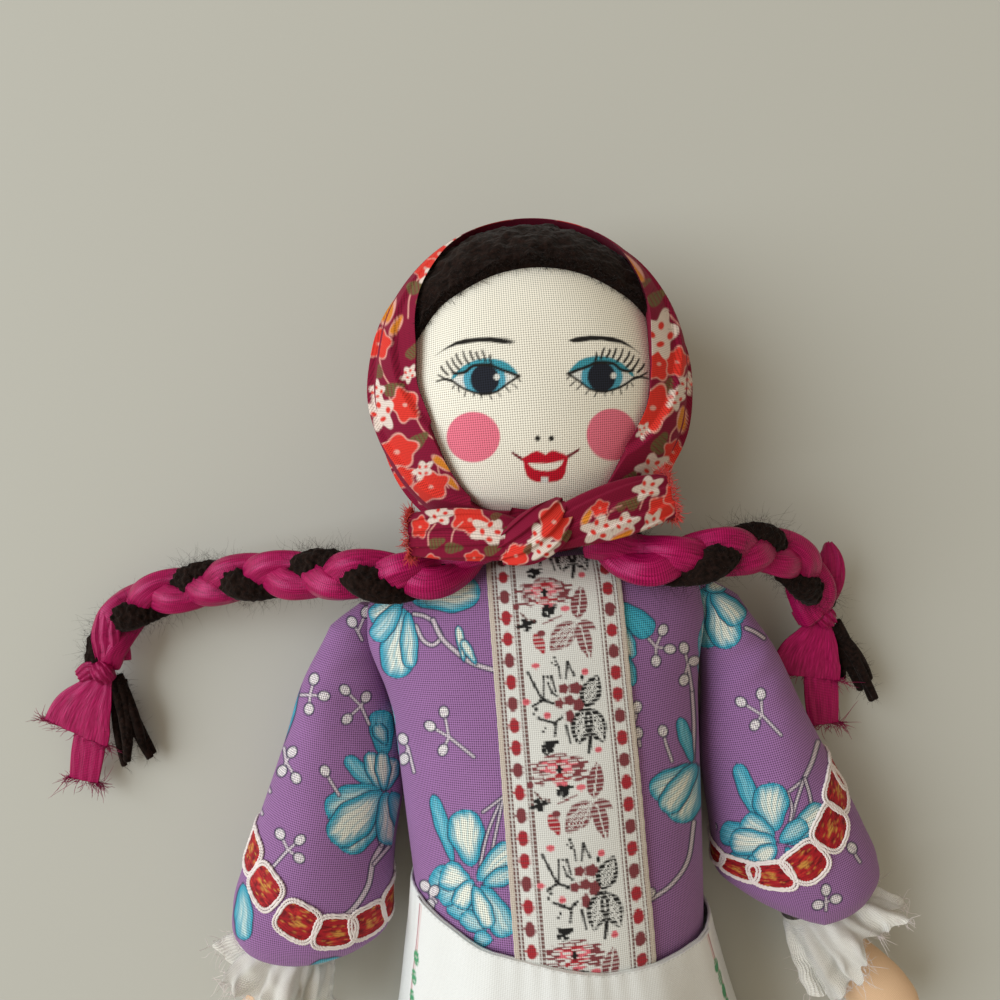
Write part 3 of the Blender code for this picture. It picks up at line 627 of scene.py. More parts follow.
def torso_sizes(shares):
    half_width = shares[:, 0] * TORSO_HALF_WIDTH
    top = shares[:, 1] * TORSO_HEIGHT
    bottom = np.where(shares[:, 2] > 0.004, shares[:, 2] * TORSO_HEIGHT, -FLAT_CUT)
    return half_width, top, bottom, np.full(len(shares), SEAM_LEVEL)


def thread_of(points, front_column):
    """Thread place of each point: length round the bag from its front line, and along it."""
    steps = np.linalg.norm(np.diff(points, axis=1), axis=2)
    around = np.concatenate((np.zeros((len(points), 1)), np.cumsum(steps, axis=1)), axis=1)
    around -= around[:, front_column:front_column + 1]
    along = np.linalg.norm(np.diff(points[:, front_column], axis=0), axis=1)
    along = -np.concatenate(((0.0,), np.cumsum(along)))
    across = around / MM
    down = np.repeat((along / MM)[:, None], points.shape[1], axis=1)
    return np.stack((-across, down), axis=2).reshape(-1, 2)


def add_tips(thread, count):
    """Rows for the middle points that close a bag's ends."""
    return np.concatenate((thread, np.repeat(thread[-1:], count, axis=0)))


torso_angles = round_angles(TORSO_FRONT_STEPS, TORSO_BACK_STEPS)
torso_stations = close_stations(TORSO_SHARES, TORSO_ROWS)
torso_x, torso_z = bag_points(TORSO_SHARES, torso_stations, torso_angles, torso_sizes)
torso_y = np.repeat((TORSO_TOP - TORSO_LENGTH * torso_stations)[:, None], len(torso_angles), axis=1)
torso_points = np.stack((narrowed(torso_x, torso_y), torso_y, np.maximum(torso_z, 0.0)), axis=2)
torso_thread = thread_of(torso_points, TORSO_FRONT_STEPS // 2)
lift = lumpy(torso_points.reshape(-1, 3), 0.5 * MM, 38.0 * MM, 3).reshape(torso_x.shape)
torso_points[:, :, 2] += np.where(torso_z > SEAM_LEVEL, lift, 0.0) * np.sin(torso_angles).clip(0, 1)
torso_mesh = outward(woven_mesh("torso", torso_points, True))
torso_cloth = Print(torso_mesh, add_tips(torso_thread, 2), PURPLE)

for x, y in ((62.0, -34.0), (-64.0, -52.0), (74.0, -86.0), (-76.0, -20.0), (88.0, -50.0), (-92.0, -84.0)):
    flower(torso_cloth, (x, y), x * 0.1, 0.95)
picture_print(torso_cloth, TORSO_STEMS, TORSO_PETALS, TORSO_SPRIGS)
torso_cloth.keep()
torso = add_piece(
    "torso", torso_mesh, purple_cotton, "torso", "purple_cotton", "torso_cover", "torso_stuffing",
)


# Ribbon: ready-woven jacquard sewn flat down the front, from under the chin to the waist. Roses,
# leaves and sprigs repeat down its middle, between two rows of dots and two cream edges.
RIBBON_WIDTH = 37.0 * MM
RIBBON_OFFSET = 5.5 * MM
RIBBON_THICK = 0.6 * MM
RIBBON_FROM = 55.5 * MM
RIBBON_TO = -53.5 * MM
RIBBON_GAP = 0.5 * MM
RIBBON_COLUMNS = 128
RIBBON_ROWS = 360
RIBBON_CELL = 0.36


def torso_front(x, y, grow):
    """Height of the torso's front above the table."""
    shares = smooth_shares(TORSO_SHARES, (TORSO_TOP - y).ravel() / TORSO_LENGTH)
    half_width, top, _, level = (row.reshape(y.shape) for row in torso_sizes(shares))
    reach = np.clip(np.abs(x) / (half_width + grow), 0.0, 1.0)
    return level + (top + grow - level) * np.sqrt(1.0 - reach * reach)


def with_edge(points, thickness):
    """Rows of points of a laid cloth with one more point all round that folds its edge down."""
    wider = np.pad(points, ((1, 1), (1, 1), (0, 0)), mode="edge")
    for line in (wider[0], wider[-1], wider[:, 0], wider[:, -1]):
        line[:, 2] -= thickness
    return wider


def spot(cloth, centre, half_x, half_y, colour, lobes=0, depth=0.3, turn=0.0, ragged=0.0):
    """Spot of colour, oval or with lobes round its edge, or ragged where weft floats end."""
    near, x, y = cloth.local(centre, turn, max(half_x, half_y) * 1.6 + 0.5)
    x = x + ragged * np.sin(np.floor(cloth.thread[near, 1] / 0.72) * 2.4 + half_x)
    angle = np.arctan2(y / half_y, x / half_x)
    reach = 1.0 + depth * np.cos(lobes * angle) if lobes else 1.0
    cloth.lay(near, cover_of((reach - np.hypot(x / half_x, y / half_y)) * min(half_x, half_y)), colour)


ribbon_down = np.linspace(RIBBON_FROM, RIBBON_TO, RIBBON_ROWS)
ribbon_share = np.linspace(-0.5, 0.5, RIBBON_COLUMNS)
ribbon_x, ribbon_y = np.meshgrid(RIBBON_OFFSET + RIBBON_WIDTH * ribbon_share, ribbon_down)
pucker = np.sin(ribbon_y / (0.9 * MM)) + np.sin(ribbon_y / (0.5 * MM) + 1.0)
ribbon_x = ribbon_x + 0.03 * MM * pucker * np.sign(ribbon_share) * (np.abs(ribbon_share) * 2.0) ** 6
ribbon_z = torso_front(ribbon_x, ribbon_y, RIBBON_GAP) + RIBBON_THICK
ribbon_points = np.stack((ribbon_x, ribbon_y, ribbon_z), axis=2)
ribbon_lift = lumpy(ribbon_points.reshape(-1, 3), 0.5 * MM, 38.0 * MM, 3).reshape(ribbon_x.shape)
ribbon_points[:, :, 2] += ribbon_lift + 0.05 * MM * np.abs(ribbon_share) ** 4 * 16.0 * pucker
ribbon_mesh = outward(woven_mesh("ribbon", with_edge(ribbon_points, RIBBON_THICK), False))
ribbon_across = (ribbon_share + 0.5) * RIBBON_WIDTH / MM
ribbon_steps = np.linalg.norm(np.diff(ribbon_points[:, RIBBON_COLUMNS // 2], axis=0), axis=1)
ribbon_along = -np.concatenate(((0.0,), np.cumsum(ribbon_steps))) / MM
ribbon_thread = np.stack(np.meshgrid(ribbon_across, ribbon_along), axis=2)
ribbon_thread = np.pad(ribbon_thread, ((1, 1), (1, 1), (0, 0)), mode="edge").reshape(-1, 2)

RIBBON_GROUND = dye(226, 229, 228)
RIBBON_CREAM = dye(202, 192, 182)
RIBBON_LINE = dye(104, 64, 62)
RIBBON_BROWN = dye(128, 62, 68)
RIBBON_RED = dye(172, 42, 54)
RIBBON_PINK = dye(226, 112, 126)
RIBBON_BLACK = dye(26, 26, 28)
RIBBON_DOT_PITCH = 5.7
RIBBON_REPEAT = 46.5
ROSE_IN_PICTURE = (562.0, 768.6)

ribbon_cloth = Print(ribbon_mesh, ribbon_thread, RIBBON_GROUND)
rose_along = ribbon_cloth.at(*ROSE_IN_PICTURE)[1]
ribbon_cloth.thread = (np.floor(ribbon_thread / RIBBON_CELL) + 0.5) * RIBBON_CELL


def stripe(cloth, low, high, colour, dashes=0.0):
    """Woven line along the ribbon, whole or in dashes."""
    across, along = cloth.thread.T
    near = np.nonzero((across > low) & (across < high))[0]
    cover = np.ones(len(near))
    if dashes:
        cover = np.where(np.mod(along[near] / dashes, 3.0) < 2.0, 0.95, 0.45)
    cloth.lay(near, cover, colour)


def woven_leaf(cloth, root, tip, width, colour, dotted=0.0, vein=True):
    """Leaf woven in short weft floats, with a pale vein; a dotted one lets the ground through."""
    run = np.array(tip) - np.array(root)
    length = float(np.hypot(*run))
    near, x, y = cloth.local(root, math.atan2(run[1], run[0]), length * 1.1)
    part = np.clip(x / length, 0.0, 1.0)
    half_width = width * 0.5 * np.sin(math.pi * part**0.85) ** 0.8
    inside = np.where((x > 0) & (x < length), half_width - np.abs(y), -1.0)
    rim = inside < 0.25 * width - 0.35
    float_rows = np.mod(cloth.thread[near, 1] / RIBBON_CELL, 3.0) < 2.2
    cells = np.floor(cloth.thread[near] / RIBBON_CELL)
    open_cell = np.mod(cells[:, 0] * 3.0 + cells[:, 1] * 2.0, 5.0) < 5.0 * dotted
    cover = cover_of(inside) * np.where(float_rows, 1.0, 0.45) * np.where(open_cell & ~rim, 0.05, 1.0)
    if vein:
        cover = cover * np.where((np.abs(y) < 0.22) & (part > 0.08), 0.1, 1.0)
    cloth.lay(near, cover, colour)


def dots_along(cloth, points, size, colour):
    """Line of single woven cells through some places."""
    for first, second in zip(points, points[1:]):
        steps = max(2, round(math.dist(first, second) / 0.62))
        for step in range(steps):
            part = step / (steps - 1)
            place = tuple(a + (b - a) * part for a, b in zip(first, second))
            spot(cloth, place, size * 1.5, size * 1.4, colour)


def black_bud(cloth, centre, size):
    spot(cloth, centre, size, size * 0.9, RIBBON_BLACK, 3, 0.3, 0.4, 0.6)
    spot(cloth, (centre[0] - size * 0.9, centre[1] - size * 0.5), size * 0.4, size * 0.4, RIBBON_BLACK)


def rose_cluster(cloth, top):
    """Upper half of the repeat: a rose with buds, berries and four brown leaves."""
    for x, y, half_x, half_y, colour in (
        (11.0, 0.6, 2.6, 2.0, RIBBON_BROWN), (19.8, 0.4, 2.6, 2.2, RIBBON_BROWN),
        (15.6, 2.4, 3.4, 1.6, RIBBON_BROWN),
        (20.4, -2.2, 2.0, 1.4, RIBBON_BROWN), (10.6, -2.4, 1.7, 1.5, RIBBON_BROWN),
        (13.2, 0.6, 2.0, 1.7, RIBBON_PINK), (17.2, 0.5, 2.1, 1.9, RIBBON_PINK),
        (15.4, -2.3, 2.6, 1.5, RIBBON_RED),
        (15.2, 1.6, 2.0, 1.0, RIBBON_RED), (15.8, -3.9, 1.6, 0.9, RIBBON_PINK),
    ):
        spot(cloth, (x, top + y), half_x, half_y, colour, 0, 0.0, 0.0, 1.1)
    for row in range(11):
        y = top + 3.4 - row * 0.72
        for part in range(3):
            start = 9.4 + part * 4.1 + 1.5 * math.sin(row * 2.3 + part)
            stroke(cloth, [(start, y), (start + 1.9, y)], 0.34, RIBBON_GROUND)
    spot(cloth, (15.5, top - 0.2), 0.9, 0.9, RIBBON_BLACK, 4, 0.3)
    black_bud(cloth, (16.3, top - 5.3), 1.7)
    spot(cloth, (9.6, top - 8.6), 2.1, 1.4, RIBBON_BLACK, 4, 0.3, 0.3, 0.6)
    dots_along(cloth, [(8.6, top - 5.6), (10.2, top - 7.2), (12.0, top - 7.6)], 0.22, RIBBON_LINE)
    spot(cloth, (7.4, top - 3.6), 0.9, 0.8, RIBBON_BROWN)
    spot(cloth, (20.7, top - 5.1), 1.2, 0.9, RIBBON_PINK)
    stroke(cloth, [(14.2, top - 8.6), (19.6, top - 6.9)], 0.4, RIBBON_BROWN)
    woven_leaf(cloth, (23.7, top - 8.2), (25.7, top + 0.8), 4.6, RIBBON_BROWN)
    woven_leaf(cloth, (24.2, top - 9.0), (26.3, top - 19.2), 4.2, RIBBON_BROWN)
    woven_leaf(cloth, (23.0, top - 8.9), (15.6, top - 16.0), 6.2, RIBBON_BROWN, 0.25, False)
    for tip in ((16.2, -12.6), (19.0, -16.4), (21.6, -15.6)):
        stroke(cloth, [(23.0, top - 9.2), (tip[0], top + tip[1])], 0.26, RIBBON_GROUND)
    woven_leaf(cloth, (24.6, top - 8.6), (28.8, top - 11.4), 2.2, RIBBON_BROWN, 0.0, False)
    woven_leaf(cloth, (11.8, top - 11.0), (14.0, top - 16.6), 3.0, RIBBON_RED, 0.0, False)
    spot(cloth, (13.6, top - 11.2), 1.2, 1.0, RIBBON_BROWN)


def flower_cluster(cloth, top):
    """Lower half of the repeat: a brown flower, black sprigs and three black openwork leaves."""
    for x, y, half_x, half_y in (
        (18.4, 0.0, 1.4, 1.3), (21.6, -0.2, 1.8, 1.6), (16.9, -3.8, 1.3, 1.2), (19.6, -3.3, 1.5, 1.3),
        (22.0, -4.6, 1.5, 1.8), (19.4, -7.4, 1.2, 1.7),
    ):
        spot(cloth, (x, top + y), half_x, half_y, RIBBON_BROWN, 5, 0.12)
    woven_leaf(cloth, (23.8, top - 5.2), (28.0, top + 2.6), 5.8, RIBBON_BLACK, 0.5, False)
    woven_leaf(cloth, (24.0, top - 5.6), (20.8, top - 14.9), 6.0, RIBBON_BLACK, 0.5)
    woven_leaf(cloth, (24.4, top - 5.8), (28.0, top - 15.1), 5.8, RIBBON_BLACK, 0.45)
    dots_along(cloth, [(24.4, top - 13.2), (23.6, top - 17.0)], 0.36, RIBBON_BLACK)
    dots_along(cloth, [(9.2, top + 4.9), (11.2, top + 0.2), (12.6, top - 2.6)], 0.28, RIBBON_BLACK)
    arch = [(12.8, top - 2.4), (13.4, top + 3.4), (15.4, top + 3.2), (16.2, top - 0.4)]
    dots_along(cloth, arch, 0.26, RIBBON_BLACK)
    dots_along(cloth, [(14.4, top + 1.6), (15.2, top - 0.8), (16.4, top - 1.8)], 0.26, RIBBON_BLACK)
    dots_along(cloth, [(9.8, top - 4.0), (12.6, top - 2.4), (15.2, top - 3.6)], 0.3, RIBBON_BLACK)
    dots_along(cloth, [(10.6, top - 4.8), (9.9, top - 6.0)], 0.3, RIBBON_BLACK)
    dots_along(cloth, [(19.3, top + 2.6), (20.1, top + 6.8), (21.5, top + 3.2)], 0.26, RIBBON_BLACK)
    dots_along(cloth, [(16.6, top + 8.2), (17.6, top + 5.6), (17.8, top + 2.8)], 0.24, RIBBON_BLACK)
    dots_along(cloth, [(15.8, top + 7.0), (16.8, top + 6.2)], 0.24, RIBBON_BLACK)
    dots_along(cloth, [(11.1, top - 7.2), (15.2, top - 8.8), (17.2, top - 7.4)], 0.3, RIBBON_BLACK)
    dots_along(cloth, [(15.6, top - 9.0), (15.0, top - 12.0)], 0.24, RIBBON_BLACK)
    dots_along(cloth, [(12.6, top - 9.8), (12.0, top - 10.8)], 0.24, RIBBON_BLACK)
    dots_along(cloth, [(18.2, top - 9.6), (18.9, top - 14.0)], 0.26, RIBBON_BLACK)
    black_bud(cloth, (13.3, top - 14.6), 1.7)
    for x, y in ((11.4, 6.5), (8.2, -2.8), (13.4, -6.6), (24.6, 3.8), (26.3, -16.6)):
        spot(cloth, (x, top + y), 1.0, 0.85, RIBBON_PINK)
        stroke(cloth, [(x - 0.6, top + y), (x + 0.6, top + y)], 0.24, RIBBON_RED)
    spot(cloth, (23.6, top + 2.4), 0.6, 0.8, RIBBON_BLACK)


RIBBON_LINES = (
    (1.4, 1.95), (2.3, 2.85), (6.3, 6.85), (7.2, 7.75), (29.8, 30.35), (30.7, 31.25), (34.4, 34.9),
    (35.2, 35.7),
)
stripe(ribbon_cloth, 0.0, 1.5, RIBBON_CREAM)
stripe(ribbon_cloth, 35.5, 37.1, RIBBON_CREAM)
for low, high in RIBBON_LINES:
    stripe(ribbon_cloth, low, high, RIBBON_LINE, RIBBON_CELL)
for repeat in range(-2, 3):
    rose_cluster(ribbon_cloth, rose_along - RIBBON_REPEAT * repeat)
    flower_cluster(ribbon_cloth, rose_along - 26.1 - RIBBON_REPEAT * repeat)
for column in (4.5, 33.0):
    for step in range(22):
        shade = RIBBON_RED if (step * 7 + round(column)) % 5 < 3 else RIBBON_BROWN
        spot(ribbon_cloth, (column, -step * RIBBON_DOT_PITCH - 1.0), 1.45, 1.95, shade, 0, 0.0, 0.0, 0.12)
        for row in range(3):
            y = -step * RIBBON_DOT_PITCH + row * 1.1 - 2.1
            stroke(ribbon_cloth, [(column - 1.2, y), (column + 1.2, y)], 0.16, RIBBON_BROWN)
ribbon_cloth.thread = ribbon_thread
ribbon_cloth.keep()
jacquard = weave_material("jacquard_ribbon", 0.54, 0.12 * MM, 0.75, 0.42, 0.12, 0.1)
ribbon = add_piece("ribbon", ribbon_mesh, jacquard, "torso", "jacquard_ribbon", "front_ribbon")


# Skirt and apron: plain white linen sewn round the waist, the apron over the skirt with a vine
# worked down each side. The waist line rises towards the doll's right, as it was sewn on.
SKIRT_THICK = 0.8 * MM
SKIRT_LENGTH = 150.0 * MM
APRON_LENGTH = 144.5 * MM
HEM_HALF_WIDTH = 77.0 * MM
HEM_HEIGHT = 37.0 * MM
WAIST_SHARE = 0.8
WAIST = TORSO_TOP - TORSO_LENGTH * WAIST_SHARE
WAIST_HALF_WIDTH = 46.9 * MM
WAIST_HEIGHT = 56.6 * MM
SKIRT_FOLDS = 12
FOLD_DEPTH = 1.6 * MM
SKIRT_SHARES = np.array((
    (0.000, 0.000, 0.000, 0.15, 1.00),
    (0.060, 0.060, -0.030, 0.35, 0.80),
    (0.120, 0.130, -0.020, 0.60, 0.60),
    (0.180, 0.190, 0.020, 0.80, 0.48),
    (0.280, 0.300, 0.120, 1.00, 0.38),
    (0.420, 0.470, 0.300, 1.00, 0.32),
    (0.600, 0.680, 0.520, 1.00, 0.28),
    (0.800, 0.860, 0.780, 1.00, 0.26),
    (1.000, 1.000, 1.000, 1.00, 0.25),
))
WAIST_RISE = ((-50.0, 14.0), (-43.0, 13.0), (-31.4, 8.4), (-24.6, 5.8), (-10.5, 3.3), (10.0, -1.1),
              (43.0, -2.2))
WAIST_RISE_REACH = 0.3
SKIRT_COLUMNS = 384
SKIRT_ROWS = 150
HIP = -91.8 * MM
HIP_LEVEL = 15.6 * MM


def skirt_points(stations, angles, grow):
    """Rows of points of the skirt, or of a cloth that lies over it."""
    width, height, fold, level = smooth_shares(SKIRT_SHARES, stations).T
    half_width = WAIST_HALF_WIDTH + (HEM_HALF_WIDTH - WAIST_HALF_WIDTH) * width + grow
    top = WAIST_HEIGHT + (HEM_HEIGHT - WAIST_HEIGHT) * height + grow
    level = (SEAM_LEVEL * level)[:, None]
    across, rise = np.cos(angles), np.sin(angles)
    front = np.sqrt(rise.clip(0.0, 1.0))
    drift = 0.5 * np.sin(3.0 * angles) * stations[:, None]
    swell = (fold * FOLD_DEPTH)[:, None] * np.cos(SKIRT_FOLDS * (angles + drift * 0.12)) * front
    gather = np.cos(47.0 * angles + 5.0 * np.sin(4.0 * angles)) * np.exp(-stations / 0.08)[:, None]
    swell = swell + gather * 0.10 * MM * front
    across_low = np.sign(across) * np.abs(across) ** 0.5
    sideways = np.where(rise > 0.0, across, across_low)
    z_high = level + (top[:, None] - level + swell) * rise
    z_low = level - level * (-rise).clip(0.0, 1.0) ** 0.5
    x = (half_width[:, None] + swell * np.abs(sideways)) * sideways
    y = np.repeat((WAIST - SKIRT_LENGTH * stations)[:, None], len(angles), axis=1)
    rise_at, rise_by = np.array(WAIST_RISE).T * MM
    fade = np.clip(1.0 - stations / WAIST_RISE_REACH, 0.0, 1.0)[:, None] ** 1.5
    y = y + np.interp(x, rise_at, rise_by) * fade
    x = x + (narrowed(x, y) - x) * np.clip(1.0 - stations / 0.5, 0.0, 1.0)[:, None]
    z = np.where(rise > 0.0, z_high, z_low)
    return np.stack((x, y, np.maximum(z, 0.1 * MM)), axis=2)


def cloth_thread(points, middle):
    """Thread places of a laid cloth, in millimetres across from a middle column and down."""
    steps = np.linalg.norm(np.diff(points, axis=1), axis=2)
    across = np.concatenate((np.zeros((len(points), 1)), np.cumsum(steps, axis=1)), axis=1)
    across -= across[:, middle:middle + 1]
    falls = np.linalg.norm(np.diff(points, axis=0), axis=2)
    down = -np.concatenate((np.zeros((1, points.shape[1])), np.cumsum(falls, axis=0)), axis=0)
    sign = 1.0 if points[0, -1, 0] > points[0, 0, 0] else -1.0
    return np.stack((sign * across / MM, down / MM), axis=2)


def both_sides(name, points, thickness, closed):
    """Cloth with a front and a back, joined round its free edges."""
    along = np.gradient(points, axis=0)
    if closed:
        around = (np.roll(points, -1, axis=1) - np.roll(points, 1, axis=1)) / 2
    else:
        around = np.gradient(points, axis=1)
    normal = np.cross(around, along)
    normal /= np.maximum(np.linalg.norm(normal, axis=2, keepdims=True), 1e-12)
    middle = points.mean(axis=(0, 1))
    if ((points - middle) * normal).sum() < 0.0:
        normal = -normal
    inner = points - normal * thickness
    if closed:
        stacked = np.concatenate((inner[::-1], points), axis=0)
        return stacked, woven_mesh(name, stacked, True, False, False)
    rim_first = np.concatenate((inner[:, ::-1], points), axis=1)
    return rim_first, woven_mesh(name, rim_first, True, False, False)


LINEN_WHITE = dye(226, 231, 232)
skirt_stations = np.linspace(0.0, 1.0, SKIRT_ROWS) ** 1.15
skirt_angles = np.linspace(0.0, math.tau, SKIRT_COLUMNS, endpoint=False)
skirt_outer = skirt_points(skirt_stations, skirt_angles, 0.0)
skirt_rows, skirt_mesh = both_sides("skirt", skirt_outer, SKIRT_THICK, True)
outward(skirt_mesh)
skirt_threads = cloth_thread(skirt_rows, SKIRT_COLUMNS // 4).reshape(-1, 2)
skirt_cloth = Print(skirt_mesh, skirt_threads, LINEN_WHITE)
skirt_cloth.keep()
white_linen = weave_material("white_linen", 0.48, 0.12 * MM, 0.9, 0.16, 0.07, 0.15)
skirt = add_piece("skirt", skirt_mesh, white_linen, None, "white_linen", "skirt_top", "skirt_flare")
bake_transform(skirt)

APRON_ANGLES = (math.radians(24.0), math.radians(156.0))
APRON_COLUMNS = 230
APRON_ROWS = 230
APRON_LIFT = 0.75 * MM
APRON_THICK = 0.5 * MM
VINE_INSET = 4.0
VINE_FROM_ROW = 4
apron_stations = (np.linspace(0.0, 1.0, APRON_ROWS) ** 1.25) * (APRON_LENGTH / SKIRT_LENGTH)
apron_angles = np.linspace(*APRON_ANGLES, APRON_COLUMNS)
apron_outer = skirt_points(apron_stations, apron_angles, APRON_LIFT)
apron_outer[0, :, 2] -= 0.25 * MM
apron_mesh = outward(woven_mesh("apron", with_edge(apron_outer, APRON_THICK), False))
apron_thread = np.pad(cloth_thread(apron_outer, APRON_COLUMNS // 2), ((1, 1), (1, 1), (0, 0)), mode="edge")
APRON_WHITE = dye(228, 232, 234)
STITCH_GREY = dye(196, 200, 200)
VINE_PINK = dye(205, 120, 120)
apron_cloth = Print(apron_mesh, apron_thread.reshape(-1, 2), APRON_WHITE)
LEAF_GREEN = dye(70, 152, 108)
VINE_RED = dye(165, 70, 90)
side_across = apron_thread[:, 1, 0], apron_thread[:, -2, 0]
side_down = apron_thread[:, 1, 1], apron_thread[:, -2, 1]
for side in (0, 1):
    inwards = -math.copysign(1.0, side_across[side][0])
    vine = [
        (side_across[side][row] + inwards * (VINE_INSET - 1.6), side_down[side][row])
        for row in range(VINE_FROM_ROW, APRON_ROWS, 6)
    ]
    stroke(apron_cloth, vine, 0.5, VINE_RED)
    fine = [(x + inwards * 0.9, y) for x, y in vine]
    stroke(apron_cloth, fine, 0.22, VINE_PINK)
    for row in range(36, 228, 9):
        root = (side_across[side][row] + inwards * (VINE_INSET - 1.2), side_down[side][row])
        lean = math.radians(68.0 if row % 2 else 112.0)
        tip = (root[0] + inwards * 3.0 * abs(math.cos(lean)) + inwards * 1.2, root[1] + 5.2 * math.sin(lean))
        woven_leaf(apron_cloth, root, tip, 3.4, LEAF_GREEN, 0.0, False)
stitch_line = apron_thread[3, 2:-2]
for column in range(4, len(stitch_line) - 4, 4):
    x, y = stitch_line[column]
    stroke(apron_cloth, [(x, y), (x + 0.5, y + 0.05)], 0.22, STITCH_GREY)
apron_cloth.keep()
apron = add_piece("apron", apron_mesh, white_linen, None, "white_linen", "apron_top", "apron_panel")
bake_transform(apron)


# Head: a round bag of coarse cream linen stuffed hard, with the face printed on its front. The
# grid is closest over the face, where lashes are a thread or two wide.
HEAD_HALF_WIDTH = 40.0 * MM
HEAD_HALF_HEIGHT = 41.2 * MM
FACE_DEPTH = 30.0 * MM
NAPE_DEPTH = 25.0 * MM
HEAD_CENTRE = Vector((3.31, 104.38, 32.0)) * MM
HEAD_TIP = math.radians(-4.0)
FACE_GRID = 300
NAPE_RINGS = 14
LINEN = dye(255, 253, 242)
SMOOTH_HEAD = 0.35 * MM


def on_head(angles, shares, grow):
    """Places round the head, by angle round the face's middle and share of a half turn from the nape."""
    tilt = math.pi * (shares - 0.5)
    depth = np.where(shares > 0.5, FACE_DEPTH, NAPE_DEPTH) + grow
    x = (HEAD_HALF_WIDTH + grow) * np.cos(tilt) * np.cos(angles)
    y = (HEAD_HALF_HEIGHT + grow) * np.cos(tilt) * np.sin(angles)
    z = depth * np.sin(tilt)
    tipped_x = x * math.cos(HEAD_TIP) - y * math.sin(HEAD_TIP)
    tipped_y = x * math.sin(HEAD_TIP) + y * math.cos(HEAD_TIP)
    centre = np.array(HEAD_CENTRE)
    return np.stack((tipped_x + centre[0], tipped_y + centre[1], z + centre[2]), axis=-1)


def round_grid(steps):
    """Square grid squeezed into a disc: radius and angle of each crossing."""
    line = np.linspace(-1.0, 1.0, steps)
    a, b = np.meshgrid(line, line)
    wide = np.abs(a) >= np.abs(b)
    with np.errstate(divide="ignore", invalid="ignore"):
        flat = np.where(wide, b / np.where(a == 0, 1, a), a / np.where(b == 0, 1, b)) * math.pi / 4
    radius = np.where(wide, np.abs(a), np.abs(b))
    angle = np.where(wide, flat + np.where(a < 0, math.pi, 0.0), np.where(b < 0, -1, 1) * math.pi / 2 - flat)
    angle = np.where(~wide & (b < 0), -math.pi / 2 - flat, angle)
    return radius, np.mod(angle, math.tau)


def filled_mesh(name, points, extra, faces):
    mesh = bpy.data.meshes.new(name)
    everything = np.concatenate((points, extra)) if len(extra) else points
    mesh.from_pydata(everything.tolist(), [], faces)
    mesh.validate()
    mesh.shade_smooth()
    return outward(mesh)


face_radius, face_angle = round_grid(FACE_GRID)
face_points = on_head(face_angle, 1.0 - 0.5 * face_radius, 0.0)
face_lift = lumpy(face_points.reshape(-1, 3), SMOOTH_HEAD, 30 * MM, 8).reshape(face_radius.shape)
face_points[:, :, 2] += face_lift * (1.0 - face_radius**2)
last = FACE_GRID - 1
index = np.arange(FACE_GRID * FACE_GRID).reshape(FACE_GRID, FACE_GRID)
quads = np.stack((index[:-1, :-1], index[:-1, 1:], index[1:, 1:], index[1:, :-1]), axis=2)
quads = quads.reshape(-1, 4).tolist()
rim_index = np.concatenate((index[0, :-1], index[:-1, last], index[last, :0:-1], index[:0:-1, 0]))
rim_angle = face_angle.ravel()[rim_index]
nape_shares = np.linspace(0.5, 0.06, NAPE_RINGS)[1:]
nape = on_head(rim_angle[None, :], nape_shares[:, None] + 0.0 * rim_angle[None, :], 0.0)
base = FACE_GRID * FACE_GRID
before = rim_index
for ring in range(len(nape_shares)):
    now = base + ring * len(rim_index) + np.arange(len(rim_index))
    quads += np.stack((before, np.roll(before, -1), np.roll(now, -1), now), axis=1).tolist()
    before = now
tip = base + nape[..., 0].size
quads += [(int(a), int(b), tip) for a, b in zip(before, np.roll(before, -1))]
nape_points = np.concatenate((nape.reshape(-1, 3), nape[-1].mean(axis=0)[None, :]))
head_mesh = filled_mesh("head", face_points.reshape(-1, 3), nape_points, quads)
head_places = places(head_mesh) - np.array(HEAD_CENTRE)
head_thread = head_places[:, :2] / MM * (1.0 + 0.25 * (1.0 - np.abs(head_places[:, 2:]) / FACE_DEPTH))
face_cloth = Print(head_mesh, head_thread, LINEN)
on_picture = face_cloth.pixels * ON_PICTURE
on_picture[head_places[:, 2] < 0] += 1000.0
face_cloth.thread = on_picture


def fill_outline(cloth, outline, colour):
    """Cover the inside of a closed outline."""
    outline = np.array(outline, float)
    low, high = outline.min(axis=0) - 0.5, outline.max(axis=0) + 0.5
    near = np.nonzero(((cloth.thread > low) & (cloth.thread < high)).all(axis=1))[0]
    place = cloth.thread[near]
    gap = np.full(len(near), np.inf)
    within = np.zeros(len(near), bool)
    for first, second in zip(outline, np.roll(outline, -1, axis=0)):
        run = second - first
        offset = place - first
        part = np.clip(offset @ run / max(run @ run, 1e-9), 0.0, 1.0)
        gap = np.minimum(gap, np.hypot(*(offset - part[:, None] * run).T))
        rise = second[1] - first[1]
        if rise:
            crossed = (first[1] > place[:, 1]) != (second[1] > place[:, 1])
            at = first[0] + (place[:, 1] - first[1]) / rise * run[0]
            within ^= crossed & (place[:, 0] < at)
    cloth.lay(near, cover_of(np.where(within, gap, -gap)), colour)


